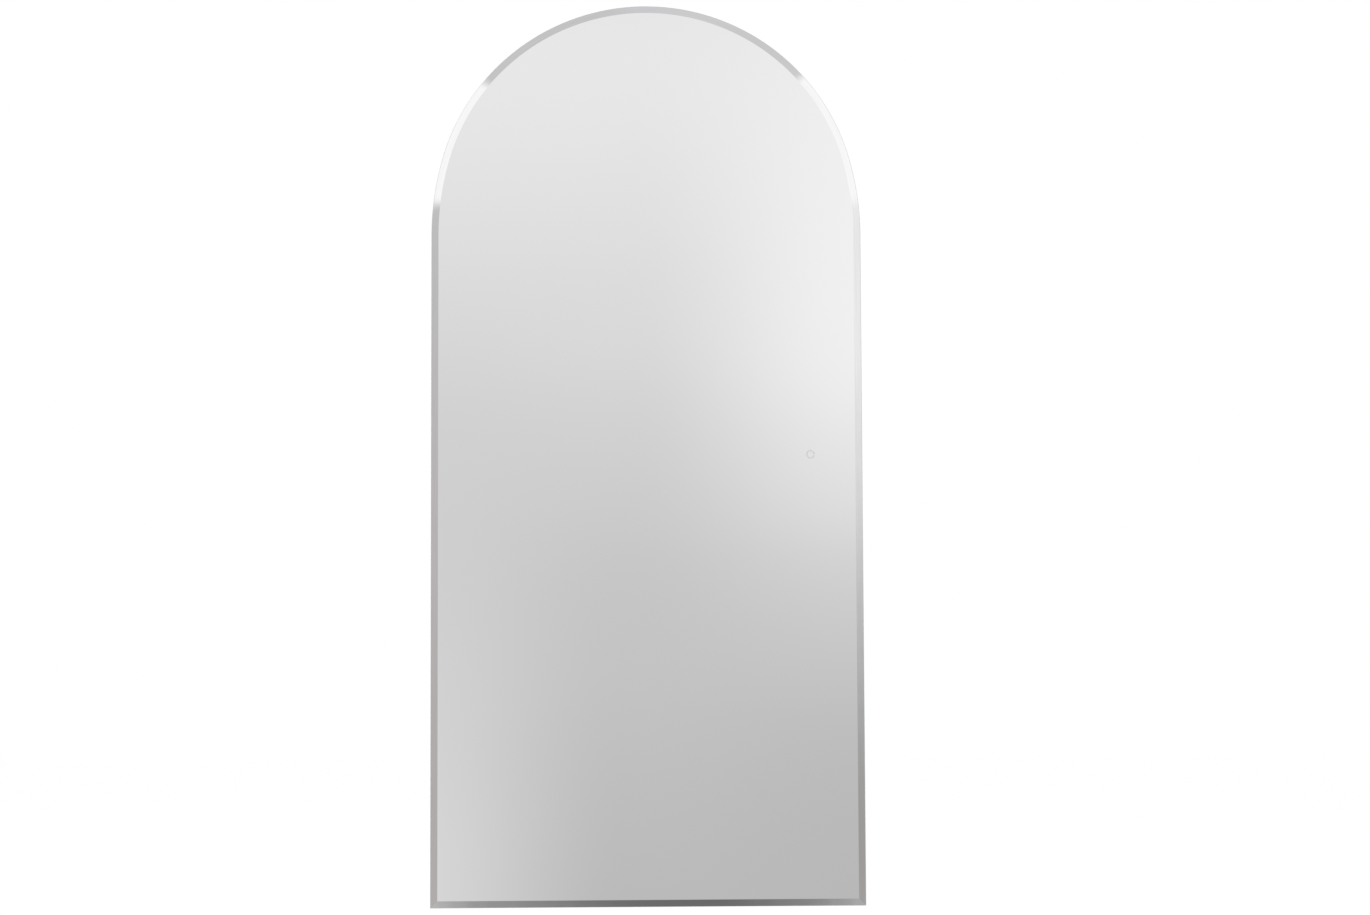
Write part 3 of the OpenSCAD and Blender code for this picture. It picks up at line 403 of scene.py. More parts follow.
# %% Etched ring
recipe = Finish("etched_ring")
grain = recipe.noise(6000.0, 3.0)
etched = recipe.done(
    Base_Color=recipe.mix(grain, grey(0.63), grey(0.72)),
    Roughness=grain * 0.15 + 0.5, Normal=recipe.bump(grain, 0.00004))

# %% Backing paint
recipe = Finish("backing_paint")
cloud = recipe.noise(5.0, 4.0)
peel = recipe.noise(700.0, 2.0)
dust = recipe.fade(recipe.cells(160.0), 0.07, 0.03)
paint = recipe.mix(cloud, colour(0.375, 0.39, 0.40), colour(0.43, 0.445, 0.455))
backing = recipe.done(
    Base_Color=recipe.mix(dust * 0.35, paint, colour(0.62, 0.62, 0.61)),
    Roughness=peel * 0.12 + cloud * 0.1 + 0.36, Normal=recipe.bump(peel, 0.00006))

# %% [markdown]
# ### Metals of the chassis
# The channel is an aluminium extrusion. The die leaves fine lines along its whole length, and
# anodising turns it satin. Noise stretched a thousand times along one axis gives such lines. On
# the bent arch they have to follow the bend, so there the pattern reads the distance from the
# arch's centre in place of plain coordinates. The plates and bars are zinc-plated steel,
# which has a soft bluish drift, and the wall rail is left as it came from the die.

# %% Where the lengths meet
chassis_low, chassis_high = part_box("chassis_bottom")
arch_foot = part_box("chassis_arch")[0].z
mitre = chassis_high.x + chassis_low.z
print("lengths meet at z =", round(arch_foot, 3), "and where |x| + z =", round(mitre, 3))


def joints(recipe):
    """A hairline along each mitre and across the feet of the arch."""
    x = recipe.split(recipe.at)
    z = x.other("Z")
    across_mitre = abs(abs(x) + z - mitre)
    across_foot = abs(z - arch_foot)
    return across_mitre.math("MAXIMUM", recipe.fade(across_mitre, 0.0003, 0.0001),
                             recipe.fade(across_foot, 0.0002, 0.00007))


# %% Satin aluminium along each length
bluish = 1.01  # how much more blue than red and green aluminium gives back


def satin(name, lines, dark=0.70, light=0.80, rough=0.30):
    """lines makes the coordinates of the die lines from the recipe."""
    recipe = Finish(name)
    die = recipe.noise(1.0, 3.0, lines(recipe), 0.6)
    drift = recipe.noise(6.0, 2.0)
    tone = recipe.mix(die * 0.5 + drift * 0.5, colour(dark, dark, dark * bluish),
                      colour(light, light, light * bluish))
    tone = recipe.mix(joints(recipe) * 0.8, tone, grey(0.12))
    return recipe.done(
        Base_Color=tone, Metallic=1.0, Roughness=die * 0.16 + drift * 0.05 + rough,
        Normal=recipe.bump(die, 0.000015))


def along(*scales):
    """Plain coordinates, in lines per metre each way."""
    return lambda recipe: recipe.stretched(*scales)


def round_the_arch(recipe):
    """The place by its radius, its depth and its angle on the bend."""
    x = recipe.split(recipe.at)
    rise = x.other("Z") - arch_foot
    radius = x.math("SQRT", x * x + rise * rise)
    angle = x.math("ARCTAN2", rise, x)
    return recipe.node("ShaderNodeCombineXYZ", {}, {
        0: radius * 2500, 1: x.other("Y") * 2500, 2: angle * 3})


dress(satin("satin_round_the_arch", round_the_arch), "chassis_arch")
leg_satin = satin("satin_up_the_legs", along(2500, 2500, 8))
dress(leg_satin, "chassis_leg_left", "chassis_leg_right")
dress(satin("satin_along_the_bottom", along(8, 2500, 2500)), "chassis_bottom")
dress(satin("mill_finish_rail", along(6, 1800, 1800), 0.62, 0.74, 0.24), "wall_rail")

# %% Zinc-plated steel
def zinc(name, dark, light, rough):
    recipe = Finish(name)
    spangle = recipe.split(recipe.cells(260.0, "Color"))
    cloud = recipe.noise(14.0, 3.0)
    scuffs = recipe.fade(recipe.noise(1.0, 4.0, recipe.stretched(90, 900, 30)), 0.60, 0.74)
    plated = recipe.mix(spangle * 0.35 + cloud * 0.65, colour(*dark), colour(*light))
    return recipe.done(
        Base_Color=recipe.mix(scuffs * 0.3, plated, grey(0.86)), Metallic=1.0,
        Roughness=cloud * 0.14 + spangle * 0.05 - scuffs * 0.06 + rough,
        Normal=recipe.bump(recipe.noise(500.0), 0.00003))


plated = zinc("zinc_plate", (0.56, 0.58, 0.61), (0.70, 0.715, 0.735), 0.30)
screw_zinc = zinc("screw_zinc", (0.46, 0.47, 0.48), (0.62, 0.63, 0.64), 0.22)
dress(plated, "splice_plates", "corner_plates", "hanger_bar", "lower_brace", "gear_plate")
dress(screw_zinc, "plate_screws", "bar_screws", "gear_screws", "lid_screws", "earth_screw")

# %% Brass
def brass(name, dark, light):
    recipe = Finish(name)
    tarnish = recipe.noise(220.0, 4.0)
    return recipe.done(
        Base_Color=recipe.mix(tarnish, colour(*dark), colour(*light)), Metallic=1.0,
        Roughness=tarnish * 0.2 + 0.2, Normal=recipe.bump(recipe.noise(2500.0), 0.00002))


dress(brass("clamp_brass_worn", (0.62, 0.46, 0.20), (0.80, 0.66, 0.36)), "clamp_screws")
dress(brass("tinned_tag", (0.66, 0.65, 0.60), (0.80, 0.79, 0.75)), "earth_tag")

# %% [markdown]
# ### Plastics, rubber and foam
# The cases are moulded in white plastic from a spark-eroded tool, which leaves a fine even
# grain. The diffuser is opal and was drawn through a die, so it is smooth with faint lines. The
# rubber has a dull bloom, and the foam tape shows cut cells at its edge.

# %% Moulded white plastic
recipe = Finish("moulded_white")
spark = recipe.noise(2600.0, 2.0)
cloud = recipe.noise(20.0, 3.0)
moulded = recipe.done(
    Base_Color=recipe.mix(cloud, colour(0.80, 0.80, 0.775), colour(0.845, 0.845, 0.825)),
    Roughness=spark * 0.15 + cloud * 0.08 + 0.34, Normal=recipe.bump(spark, 0.00006))
dress(moulded, "driver_case", "driver_lid", "terminal_box", "terminal_lid", "sensor_case")

# %% Natural nylon
recipe = Finish("natural_nylon")
cloud = recipe.noise(70.0, 3.0)
flow = recipe.noise(1.0, 2.0, recipe.stretched(300, 300, 60))
nylon = recipe.done(
    Base_Color=recipe.mix(cloud, colour(0.74, 0.73, 0.66), colour(0.82, 0.815, 0.76)),
    Roughness=flow * 0.2 + 0.3, Normal=recipe.bump(flow, 0.00003))
dress(nylon, "lead_clips", "terminal_block")

# %% Opal diffuser
def opal(name, lines):
    recipe = Finish(name)
    drawn = recipe.noise(1.0, 2.0, lines(recipe))
    cloud = recipe.noise(8.0)
    return recipe.done(
        Base_Color=recipe.mix(cloud, colour(0.86, 0.86, 0.845), colour(0.90, 0.90, 0.89)),
        Roughness=drawn * 0.14 + 0.36, Normal=recipe.bump(drawn, 0.00002),
        Coat_Weight=0.15, Coat_Roughness=0.2)


dress(opal("opal_round_the_arch", round_the_arch), "diffuser_arch")
leg_opal = opal("opal_up_the_legs", along(1500, 1500, 5))
dress(leg_opal, "diffuser_leg_left", "diffuser_leg_right")
dress(opal("opal_along_the_bottom", along(5, 1500, 1500)), "diffuser_bottom")

# %% Rubber
recipe = Finish("black_rubber")
bloom = recipe.noise(120.0, 4.0)
pits = recipe.noise(3000.0)
rubber = recipe.done(
    Base_Color=recipe.mix(bloom, colour(0.030, 0.030, 0.031), colour(0.062, 0.061, 0.060)),
    Roughness=bloom * 0.2 + 0.55, Normal=recipe.bump(pits, 0.00008))
dress(rubber, "wall_bumpers", "inlet_grommet", "feed_grommet")

# %% Foam
recipe = Finish("closed_cell_foam")
cells = recipe.cells(2600.0)
walls = recipe.fade(cells, 0.2, 0.7) * 0.7 + recipe.noise(30.0) * 0.3
foam = recipe.done(
    Base_Color=recipe.mix(walls, colour(0.66, 0.66, 0.64), colour(0.84, 0.84, 0.82)),
    Roughness=0.9, Normal=recipe.bump(cells, 0.0002))
dress(foam, "mounting_tape", "gear_pads")

# %% [markdown]
# ### The electrical parts
# Most of these are hidden in their cases, and some show through the vents of the driver's lid.
# A board is green lacquer over copper tracks, which a brick pattern imitates well enough at
# this size. The parts on it differ in colour from one to the next, so their colour is chosen
# by where they stand.

# %% Boards
recipe = Finish("lacquered_board")
tracks = recipe.node("ShaderNodeTexBrick", {"offset": 0.37}, {
    "Vector": recipe.at, "Scale": 260.0, "Mortar Size": 0.12,
    "Color1": grey(0), "Color2": grey(0.4), "Mortar": grey(1)})
track = recipe.split(tracks)
lacquer = recipe.mix(track * 0.6 + recipe.noise(90.0) * 0.2,
                     colour(0.022, 0.13, 0.055), colour(0.07, 0.30, 0.14))
board = recipe.done(
    Base_Color=lacquer,
    Roughness=0.25, Normal=recipe.bump(track, 0.00003), Coat_Weight=0.5, Coat_Roughness=0.1)
dress(board, "driver_board", "sensor_board")

# %% Parts on the board
recipe = Finish("driver_parts")
black, yellow, blue, bare = (
    (0.03, 0.03, 0.035), (0.55, 0.42, 0.12), (0.04, 0.05, 0.11), (0.45, 0.46, 0.47))
paints = recipe.node(
    "ShaderNodeValToRGB",
    {"ramp": "CONSTANT", "stops": [(0, black), (0.3, yellow), (0.5, blue), (0.75, bare)]},
    {0: recipe.split(recipe.cells(55.0, "Color"))})
grain = recipe.noise(900.0)
components = recipe.done(
    Base_Color=paints, Roughness=grain * 0.3 + 0.3, Normal=recipe.bump(grain, 0.00004))
dress(components, "driver_components")

# %% Strip and chips
recipe = Finish("coated_strip")
pads = recipe.fade(recipe.noise(1.0, 1.0, recipe.stretched(500, 60, 500)), 0.62, 0.66)
strip = recipe.done(
    Base_Color=recipe.mix(pads, colour(0.84, 0.84, 0.80), colour(0.72, 0.50, 0.28)),
    Metallic=pads, Roughness=0.4 - pads * 0.1, Normal=recipe.bump(pads, 0.00004))
dress(strip, "light_strip")
recipe = Finish("phosphor_gel")
gel = recipe.noise(1500.0, 3.0)
phosphor = recipe.done(
    Base_Color=recipe.mix(gel, colour(0.86, 0.66, 0.16), colour(0.93, 0.80, 0.32)),
    Roughness=gel * 0.2 + 0.2, Coat_Weight=0.4, Coat_Roughness=0.1)
dress(phosphor, "light_chips")

# %% Sheaths of the leads
def sheath(name, dark, light, stripe=None):
    recipe = Finish(name)
    cloud = recipe.noise(40.0, 3.0)
    draw = recipe.noise(900.0, 2.0)
    skin = recipe.mix(cloud, colour(*dark), colour(*light))
    if stripe:
        facing = recipe.split(recipe.node("ShaderNodeNewGeometry", out="Normal"))
        band = recipe.fade(facing.other("Z") + facing * 0.4, -0.05, 0.05)
        skin = recipe.mix(band, skin, colour(*stripe))
    return recipe.done(
        Base_Color=skin, Roughness=draw * 0.12 + cloud * 0.08 + 0.36,
        Normal=recipe.bump(draw, 0.00003))


white_sheath = sheath("white_sheath", (0.78, 0.78, 0.76), (0.84, 0.84, 0.82))
earth_sheath = sheath("earth_sheath", (0.05, 0.26, 0.06), (0.07, 0.32, 0.08), (0.86, 0.74, 0.05))
dress(white_sheath, "mains_lead", "light_lead", "sensor_lead")
dress(earth_sheath, "earth_lead")

# %% [markdown]
# ## The mirror glass
# The sheet has an arched top on straight sides, a bevel ten millimetres wide all round and a
# fine ground arris outside it. The arch isn't quite a half circle: its crown is a little tighter,
# and on each side a wider curve, the shoulder, leads down to the straight edge. The bevel shows
# the softboxes as long streaks, and any facet in the arch would break them into steps. The
# solid's arch is cut into steps of a few degrees, so the glass is made again here from its true
# outline, as rings of points set in from the edge. A curve with a bevel would give the arch too,
# but not the mitred corners.

# %% Sizes of the sheet
glass_low, glass_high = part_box("mirror_glass")
half_wide = glass_high.x
foot = glass_low.z
front, rear = glass_low.y, glass_high.y
bevel_wide, bevel_drop, arris = 0.010, 0.002, 0.0005
tighter = 0.004  # how much smaller the crown's radius is than half the width
crown_r = half_wide - tighter
crown_z = glass_high.z - crown_r
steps_over, steps_down = 24, 7  # from the crown's centre to a shoulder's, in steps of tighter
shoulder_r = half_wide + steps_over * tighter
shoulder_x, shoulder_z = half_wide - shoulder_r, crown_z - steps_down * tighter
lean = math.atan2(steps_down, steps_over)
sheet_size = (2 * half_wide, glass_high.z - foot, rear - front)
print("sheet, mm:", [round(v * 1000, 1) for v in sheet_size])
print("the shoulders take", round(math.degrees(lean), 1), "degrees at each end of the arch")

# %% [markdown]
# ### Polish of the bevel
# A bevel is polished by felt wheels that run along the edge. They leave faint streaks in their
# own direction and slight waves, which bend the ends of the softboxes' reflections a little. The
# streaks have to turn with the outline, so their pattern reads how far a place lies in from the
# edge, which three sums give: one for the straight sides, one for the shoulders, one for the
# crown. A UV map could carry the same distance, but it would tie the finish to one mesh.

# %% How far in from the edge
def in_from_the_edge(x, z):
    """The distance of a place on the sheet from its outline."""
    out = abs(x)

    def inside(centre_x, centre_z, radius):
        over, rise = out - centre_x, z - centre_z
        return radius - z.math("SQRT", over * over + rise * rise)

    straight = z.math("MINIMUM", half_wide - out, z - foot)
    shoulder = inside(shoulder_x, shoulder_z, shoulder_r)
    in_crown = z.math("GREATER_THAN", (z - crown_z) * steps_over, out * steps_down)
    curved = shoulder + (inside(0, crown_z, crown_r) - shoulder) * in_crown
    return straight + (curved - straight) * z.math("GREATER_THAN", z, shoulder_z)


# %% Polished bevel
streak_wide, streak_long = 1 / 700, 1 / 16
recipe = Finish("polished_bevel")
x = recipe.split(recipe.at)
z = x.other("Z")
wheel = recipe.node("ShaderNodeCombineXYZ", {}, {
    0: in_from_the_edge(x, z) / streak_wide, 1: x / streak_long, 2: z / streak_long})
streaks = recipe.noise(1.0, 3.0, wheel, 0.6)
waves = recipe.noise(35.0, 1.0)
shine = recipe.mix(streaks * 1.5 - 0.07, colour(0.895, 0.892, 0.894), colour(0.988, 0.984, 0.986))
polish = recipe.done(Base_Color=shine, Metallic=1.0, Roughness=streaks * 0.03 + 0.01,
                     Normal=recipe.bump(waves, 0.00005))
print("streaks, mm wide and long:", round(streak_wide * 1000, 1), streak_long * 1000)


# %% Outline rings
def outline(inset, y):
    """The sheet's outline set in by a distance, from the right bottom corner, over the arch."""
    right_side = [(half_wide - inset, foot + inset)]
    for centre_x, centre_z, radius, start, end, steps in (
            (shoulder_x, shoulder_z, shoulder_r, 0, lean, 30),
            (0, crown_z, crown_r, lean, math.pi / 2, 110)):
        for i in range(steps):
            angle = start + (end - start) * i / steps
            right_side.append((centre_x + (radius - inset) * math.cos(angle),
                               centre_z + (radius - inset) * math.sin(angle)))
    top = (0, crown_z + crown_r - inset)
    left_side = [(-x, z) for x, z in reversed(right_side)]
    return [(x, y, z) for x, z in (*right_side, top, *left_side)]


rings = [
    outline(arris, rear),
    outline(0, rear - arris),
    outline(0, front + bevel_drop + arris),
    outline(arris, front + bevel_drop),
    outline(bevel_wide, front),
]
SILVER, EDGE, ARRIS, BEVEL, PAINT, ETCHED = range(6)  # slots of the sheet's materials
band_slots = [ARRIS, EDGE, ARRIS, BEVEL]
print(len(rings), "rings of", len(rings[0]), "points")

# %% Touch ring
touch_wide, line_wide, etch = 0.012, 0.002, 0.0002
sensor_low, sensor_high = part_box("sensor_case")
touch = Vector(((sensor_low.x + sensor_high.x) / 2, front, (sensor_low.z + sensor_high.z) / 2))


def circle(bm, radius, y, centre, steps=64):
    """Points round an axis along Y."""
    turns = [math.tau * i / steps for i in range(steps)]
    return [bm.verts.new((centre.x + radius * math.cos(t), y, centre.z + radius * math.sin(t)))
            for t in turns]


def loop_edges(bm, verts):
    pairs = zip(verts, verts[1:] + verts[:1])
    return [bm.edges.get(pair) or bm.edges.new(pair) for pair in pairs]


def band(bm, first, second, slot):
    """Smooth faces between two rings of the same number of points."""
    count = len(first)
    for i in range(count):
        j = (i + 1) % count
        face = bm.faces.new((first[i], first[j], second[j], second[i]))
        face.material_index, face.smooth = slot, True


print("touch ring, mm:", [round(v * 1000, 1) for v in touch])

# %% The sheet
bm = bmesh.new()
loops = [[bm.verts.new(p) for p in ring] for ring in rings]
for slot, (first, second) in zip(band_slots, zip(loops, loops[1:])):
    band(bm, first, second, slot)
bm.faces.new(loops[0][::-1]).material_index = PAINT
inner, outer = touch_wide / 2 - line_wide, touch_wide / 2
groove = [circle(bm, radius, y, touch) for radius, y in (
    (outer, front), (outer, front + etch), (inner, front + etch), (inner, front))]
for first, second in zip(groove, groove[1:]):
    band(bm, first, second, ETCHED)
bm.faces.new(groove[-1])
bmesh.ops.triangle_fill(
    bm, edges=loop_edges(bm, loops[-1]) + loop_edges(bm, groove[0]), use_beauty=True,
    normal=(0, -1, 0))
bmesh.ops.recalc_face_normals(bm, faces=bm.faces)
mesh = bpy.data.meshes.new("bevelled_glass")
bm.to_mesh(mesh)
bm.free()
for material in (silver, edge_glass, arris_glass, polish, backing, etched):
    mesh.materials.append(material)
mesh.set_sharp_from_angle(angle=math.radians(4))
glass = added("bevelled_glass", mesh)
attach(glass, "mirror")
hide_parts("mirror_glass")
print("glass:", len(mesh.polygons), "faces")

# %% [markdown]
# ## Softened edges
# No real edge is perfectly sharp. A moulded case has a small radius round its lid, sheet metal
# has a larger one along each fold, and a die gives an extrusion one along its whole length. Such
# an edge catches a thin line of light, and without it a solid looks cut from card. A Bevel
# modifier would round every edge alike, so here a copy of each solid is merged, its outward
# corners are sorted by what they are, and only the right ones are bevelled.

# %% Finished pieces
def box_of(points):
    """The lowest and the highest corner of some points."""
    points = list(points)
    return [Vector(pick(p[i] for p in points) for i in range(3)) for pick in (min, max)]


def piece_of(name, mesh, node, body="mirror"):
    """A finished mesh as a piece that stands for a CAD solid."""
    made = added(name, mesh)
    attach(made, body)
    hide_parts(node)
    off = max(abs(mine - theirs) for pair in zip(box_of(v.co for v in mesh.vertices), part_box(node))
              for mine, theirs in zip(*pair))
    print(name, "has", len(mesh.polygons), "faces, box off by", round(off * 1000, 2), "mm")


# %% From a sketch to a plain mesh
def as_object(name, bm):
    mesh = bpy.data.meshes.new(name)
    bm.to_mesh(mesh)
    bm.free()
    return added(name, mesh)


def finished_mesh(made):
    """What an object's modifiers make of it, as a plain mesh of its own."""
    return bpy.data.meshes.new_from_object(
        made.evaluated_get(bpy.context.evaluated_depsgraph_get()))


# %% Rounding the right corners
def merged(name):
    """A copy of a solid, with its loose triangles joined and its flat faces made whole."""
    bm = bmesh.new()
    bm.from_mesh(solids[name].data)
    bmesh.ops.remove_doubles(bm, verts=bm.verts, dist=1e-6)
    bmesh.ops.dissolve_limit(bm, angle_limit=math.radians(0.3), verts=bm.verts, edges=bm.edges)
    return bm


def softened(name, slot, *roundings, body="mirror"):
    """Each rounding is a test of an edge and the radius of the corners that pass it."""
    bm = merged(name)
    for wanted, radius in roundings:
        corners = [edge for edge in bm.edges
                   if edge.calc_face_angle_signed() > math.radians(50) and wanted(edge)]
        bmesh.ops.bevel(bm, geom=corners, offset=radius, offset_type="OFFSET", segments=3,
                        profile=0.5, affect="EDGES", clamp_overlap=True)
    rough = as_object(name, bm)
    rough.data.materials.append(solids[name].material_slots[0].material)
    rough.data.shade_smooth()
    rough.data.set_sharp_from_angle(angle=math.radians(32))
    level = rough.modifiers.new("level", "WEIGHTED_NORMAL")
    level.keep_sharp, level.weight = True, 100
    mesh = finished_mesh(rough)
    bpy.data.objects.remove(rough)
    piece_of(name + "_softened", mesh, name, body=body)


# %% Moulded cases
def rim(name):
    """Picks the edges round the face towards the wall."""
    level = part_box(name)[1].y
    return lambda edge: all(abs(v.co.y - level) < 1e-5 for v in edge.verts)


def level_edge(edge):
    return abs(edge.verts[0].co.y - edge.verts[1].co.y) < 1e-6


for name, radius in (("driver_lid", 0.0007), ("terminal_lid", 0.0007), ("sensor_case", 0.001)):
    softened(name, "white_plastic", (rim(name), radius), (level_edge, 0.0002))
for name in ("driver_case", "terminal_box"):
    softened(name, "white_plastic", (level_edge, 0.0003))
softened("lead_clips", "nylon", (level_edge, 0.0002))
for name in ("wall_bumpers", "inlet_grommet"):
    softened(name, "rubber", (rim(name), 0.0006))

# %% Folds of the sheet metal
def fold(edge):
    """A long edge between two broad faces."""
    long = edge.calc_length()
    return long > 0.1 and all(face.calc_area() / long > 0.005 for face in edge.link_faces)


for name in ("hanger_bar", "lower_brace", "gear_plate"):
    softened(name, "zinc_steel", (fold, 0.0014))

# %% Lengths of the extrusion
def way_of(name):
    """The direction in which the die drew the metal, at any point."""
    if name == "chassis_arch":
        return lambda at: Vector((arch_foot - at.z, 0, at.x)).normalized()
    return lambda at: Vector((1, 0, 0) if name in ("chassis_bottom", "wall_rail") else (0, 0, 1))


def drawn_edge(name):
    """Picks the edges that run along the length, not those of cuts and holes."""
    way = way_of(name)

    def test(edge):
        ends = [v.co for v in edge.verts]
        there, run = way((ends[0] + ends[1]) / 2), ends[1] - ends[0]
        return (run.length > 0.002 and abs(run.normalized().dot(there)) > 0.9
                and all(abs(face.normal.dot(there)) < 0.05 for face in edge.link_faces))
    return test


for name in ("chassis_leg_left", "chassis_leg_right", "chassis_bottom", "chassis_arch"):
    softened(name, "chassis_aluminium", (drawn_edge(name), 0.0003))
softened("wall_rail", "rail_aluminium", (drawn_edge("wall_rail"), 0.0004), body="rail")

# %% [markdown]
# ## Screws
# Thirty pan-head screws hold the plates, bars and lids, in four groups. The screws of a group
# are alike, apart from how far each was turned, so one is modelled and Geometry Nodes put a copy
# at each place, turned by a random angle. Placing them all by hand would look the same, but a
# change to the screw would then be made thirty times. Places and sizes are read from the solids.

# %% One pan-head screw
def turned_mesh(profile, steps=28):
    """A closed solid of revolution about Y, through pairs of radius and height from end to end."""
    bm = bmesh.new()
    tip, rings = bm.verts.new((0, profile[0][1], 0)), []
    for radius, y in profile[1:-1]:
        rings.append(circle(bm, radius, y, Vector(), steps))
    top = bm.verts.new((0, profile[-1][1], 0))
    for i in range(steps):
        j = (i + 1) % steps
        bm.faces.new((tip, rings[0][i], rings[0][j]))
        bm.faces.new((top, rings[-1][j], rings[-1][i]))
        for first, second in zip(rings, rings[1:]):
            bm.faces.new((first[i], second[i], second[j], first[j]))
    bmesh.ops.recalc_face_normals(bm, faces=bm.faces)
    return bm


def wedge(turn, wide, narrow, deep, thick):
    """One arm of the cross recess, narrower at its floor."""
    bm = bmesh.new()
    spin = Matrix.Rotation(turn, 3, "Y")
    loops = []
    for x, y, z in ((wide / 2, 0.0003, thick / 2), (narrow / 2, -deep, thick * 0.4)):
        corners = ((x, y, z), (-x, y, z), (-x, y, -z), (x, y, -z))
        loops.append([bm.verts.new(spin @ Vector(corner)) for corner in corners])
    bm.faces.new(loops[0])
    bm.faces.new(loops[1])
    for i in range(4):
        bm.faces.new((loops[0][i], loops[1][i], loops[1][i - 3], loops[0][i - 3]))
    bmesh.ops.recalc_face_normals(bm, faces=bm.faces)
    return bm


def pan_screw(head, height, shank, length):
    """A screw that points along Y, with the top of its head at the origin and its point below."""
    r, s = head / 2, shank / 2
    pitch, thread = 0.0005, []
    y = -height - 0.0002
    while y > 0.0004 - length:
        thread += [(s, y), (s * 0.82, y - pitch / 2)]
        y -= pitch
    pan = ((0.97, 1), (1, 0.92), (1, 0.5), (0.965, 0.33), (0.87, 0.19), (0.7, 0.08), (0.4, 0.02),
           (0.15, 0), (0, 0))  # the head's outline, in shares of its radius and height
    profile = [(0, -length), (s * 0.5, -length), *reversed(thread), (s * 0.9, -height)]
    profile += [(r * out, -height * down) for out, down in pan]
    made = as_object("pan_screw", turned_mesh(profile))
    spent = [made]
    recess_wide, floor_wide, recess_deep = head * 0.58, head * 0.14, height * 1.2
    for turn in (0, math.pi / 2):
        arm = wedge(turn, recess_wide, floor_wide, recess_deep, head / 7)
        spent.append(as_object("arm", arm))
        cut = made.modifiers.new("recess", "BOOLEAN")
        cut.operation, cut.solver, cut.object = "DIFFERENCE", "EXACT", spent[-1]
    mesh = finished_mesh(made)
    for item in spent:
        bpy.data.objects.remove(item)
    mesh.shade_smooth()
    mesh.set_sharp_from_angle(angle=math.radians(35))
    print("one screw has", len(mesh.polygons), "faces")
    return bpy.data.objects.new("pan_screw", mesh)


# %% Trees that make pieces
class Maker(Plan):
    """A Geometry Nodes tree with named inputs."""

    def __init__(self, name, kinds):
        super().__init__(bpy.data.node_groups.new(name, "GeometryNodeTree"))
        self.inputs = {}
        for label, kind in {"Geometry": "Geometry", **kinds}.items():
            socket = self.tree.interface.new_socket(
                label, in_out="INPUT", socket_type="NodeSocket" + kind)
            self.inputs[label] = socket.identifier
        self.tree.interface.new_socket(
            "Geometry", in_out="OUTPUT", socket_type="NodeSocketGeometry")
        print("inputs of", name, self.inputs)

    def make(self, mesh, values):
        """What the tree makes of a mesh, as a plain mesh with no modifier left."""
        holder = added(mesh.name, mesh)
        step = holder.modifiers.new("tree", "NODES")
        step.node_group = self.tree
        for label, value in values.items():
            step[self.inputs[label]] = value
        made = finished_mesh(holder)
        bpy.data.objects.remove(holder)
        return made


# %% Tree that puts screws in their places
placing = Maker("screws_in_place", {
    "Screw": "Object", "Most Turn": "Float", "Seed": "Int", "Finish": "Material"})
given = placing.node("NodeGroupInput", out="Geometry")
one = placing.node("GeometryNodeObjectInfo", {}, {"Object": given.other("Screw")}, "Geometry")
angle = placing.node("FunctionNodeRandomValue", {"data_type": "FLOAT"}, {
    "Min": 0.0, "Max": given.other("Most Turn"), "Seed": given.other("Seed")}, 1)
turned = placing.node("FunctionNodeEulerToRotation", {}, {
    0: placing.node("ShaderNodeCombineXYZ", {}, {"Y": angle})})
placed = placing.node("GeometryNodeInstanceOnPoints", {}, {
    "Points": given, "Instance": one, "Rotation": turned})
placed = placing.node("GeometryNodeRealizeInstances", {}, {0: placed})
placed = placing.node("GeometryNodeSetMaterial", {}, {
    "Geometry": placed, "Material": given.other("Finish")})
placing.node("NodeGroupOutput", {}, {0: placed})


# %% Places and sizes, read from the solids
def islands(name):
    """The separate bodies of a solid, each as a list of points."""
    bm = merged(name)
    left, groups = set(bm.verts), []
    while left:
        stack, group = [left.pop()], []
        while stack:
            vert = stack.pop()
            group.append(vert.co.copy())
            for other in [edge.other_vert(vert) for edge in vert.link_edges]:
                if other in left:
                    left.remove(other)
                    stack.append(other)
        groups.append(group)
    bm.free()
    return groups


def measured(points):
    """Place of the head's top, head width and height, shank width and length of one screw."""
    low, high = box_of(points)
    axis = Vector(((low.x + high.x) / 2, high.y, (low.z + high.z) / 2))
    off = [(math.hypot(p.x - axis.x, p.z - axis.z), p.y) for p in points]
    head = max(radius for radius, _ in off)
    seat = min(y for radius, y in off if radius > head * 0.9)
    shank = max(radius for radius, y in off if y < seat - 1e-4)
    return axis, (2 * head, high.y - seat, 2 * shank, high.y - low.y)


def screws(name, seed):
    """Drives a group of screws, sorted by place so that each run turns them the same."""
    found = [measured(group) for group in islands(name)]
    found.sort(key=lambda screw: (round(screw[0].x, 2), screw[0].z))
    places = bpy.data.meshes.new("places")
    places.from_pydata([axis for axis, _ in found], [], [])
    one_screw = pan_screw(*found[0][1])
    mesh = placing.make(places, {
        "Screw": one_screw, "Most Turn": math.tau, "Seed": seed, "Finish": screw_zinc})
    bpy.data.objects.remove(one_screw)
    print(len(found), "places, sizes in mm:", [round(v * 1000, 2) for v in found[0][1]])
    piece_of(name + "_driven", mesh, name)


for seed, name in enumerate(("plate_screws", "bar_screws", "gear_screws", "lid_screws")):
    screws(name, seed)

# %% [markdown]
# ## Sheathed leads
# Four round leads run over the back: mains from the terminal box to the driver, low voltage from
# the driver to the light strips, one up to the touch sensor, and earth to its tag. The mains
# lead is short and nearly straight, so its solid stays. The others are made again. A lead keeps
# its thickness and bends at a steady radius, which is a rule, so Geometry Nodes make it: the
# corners of its route are rounded off and a circle is swept along. Each route is drawn through
# the places where the solids hold it.

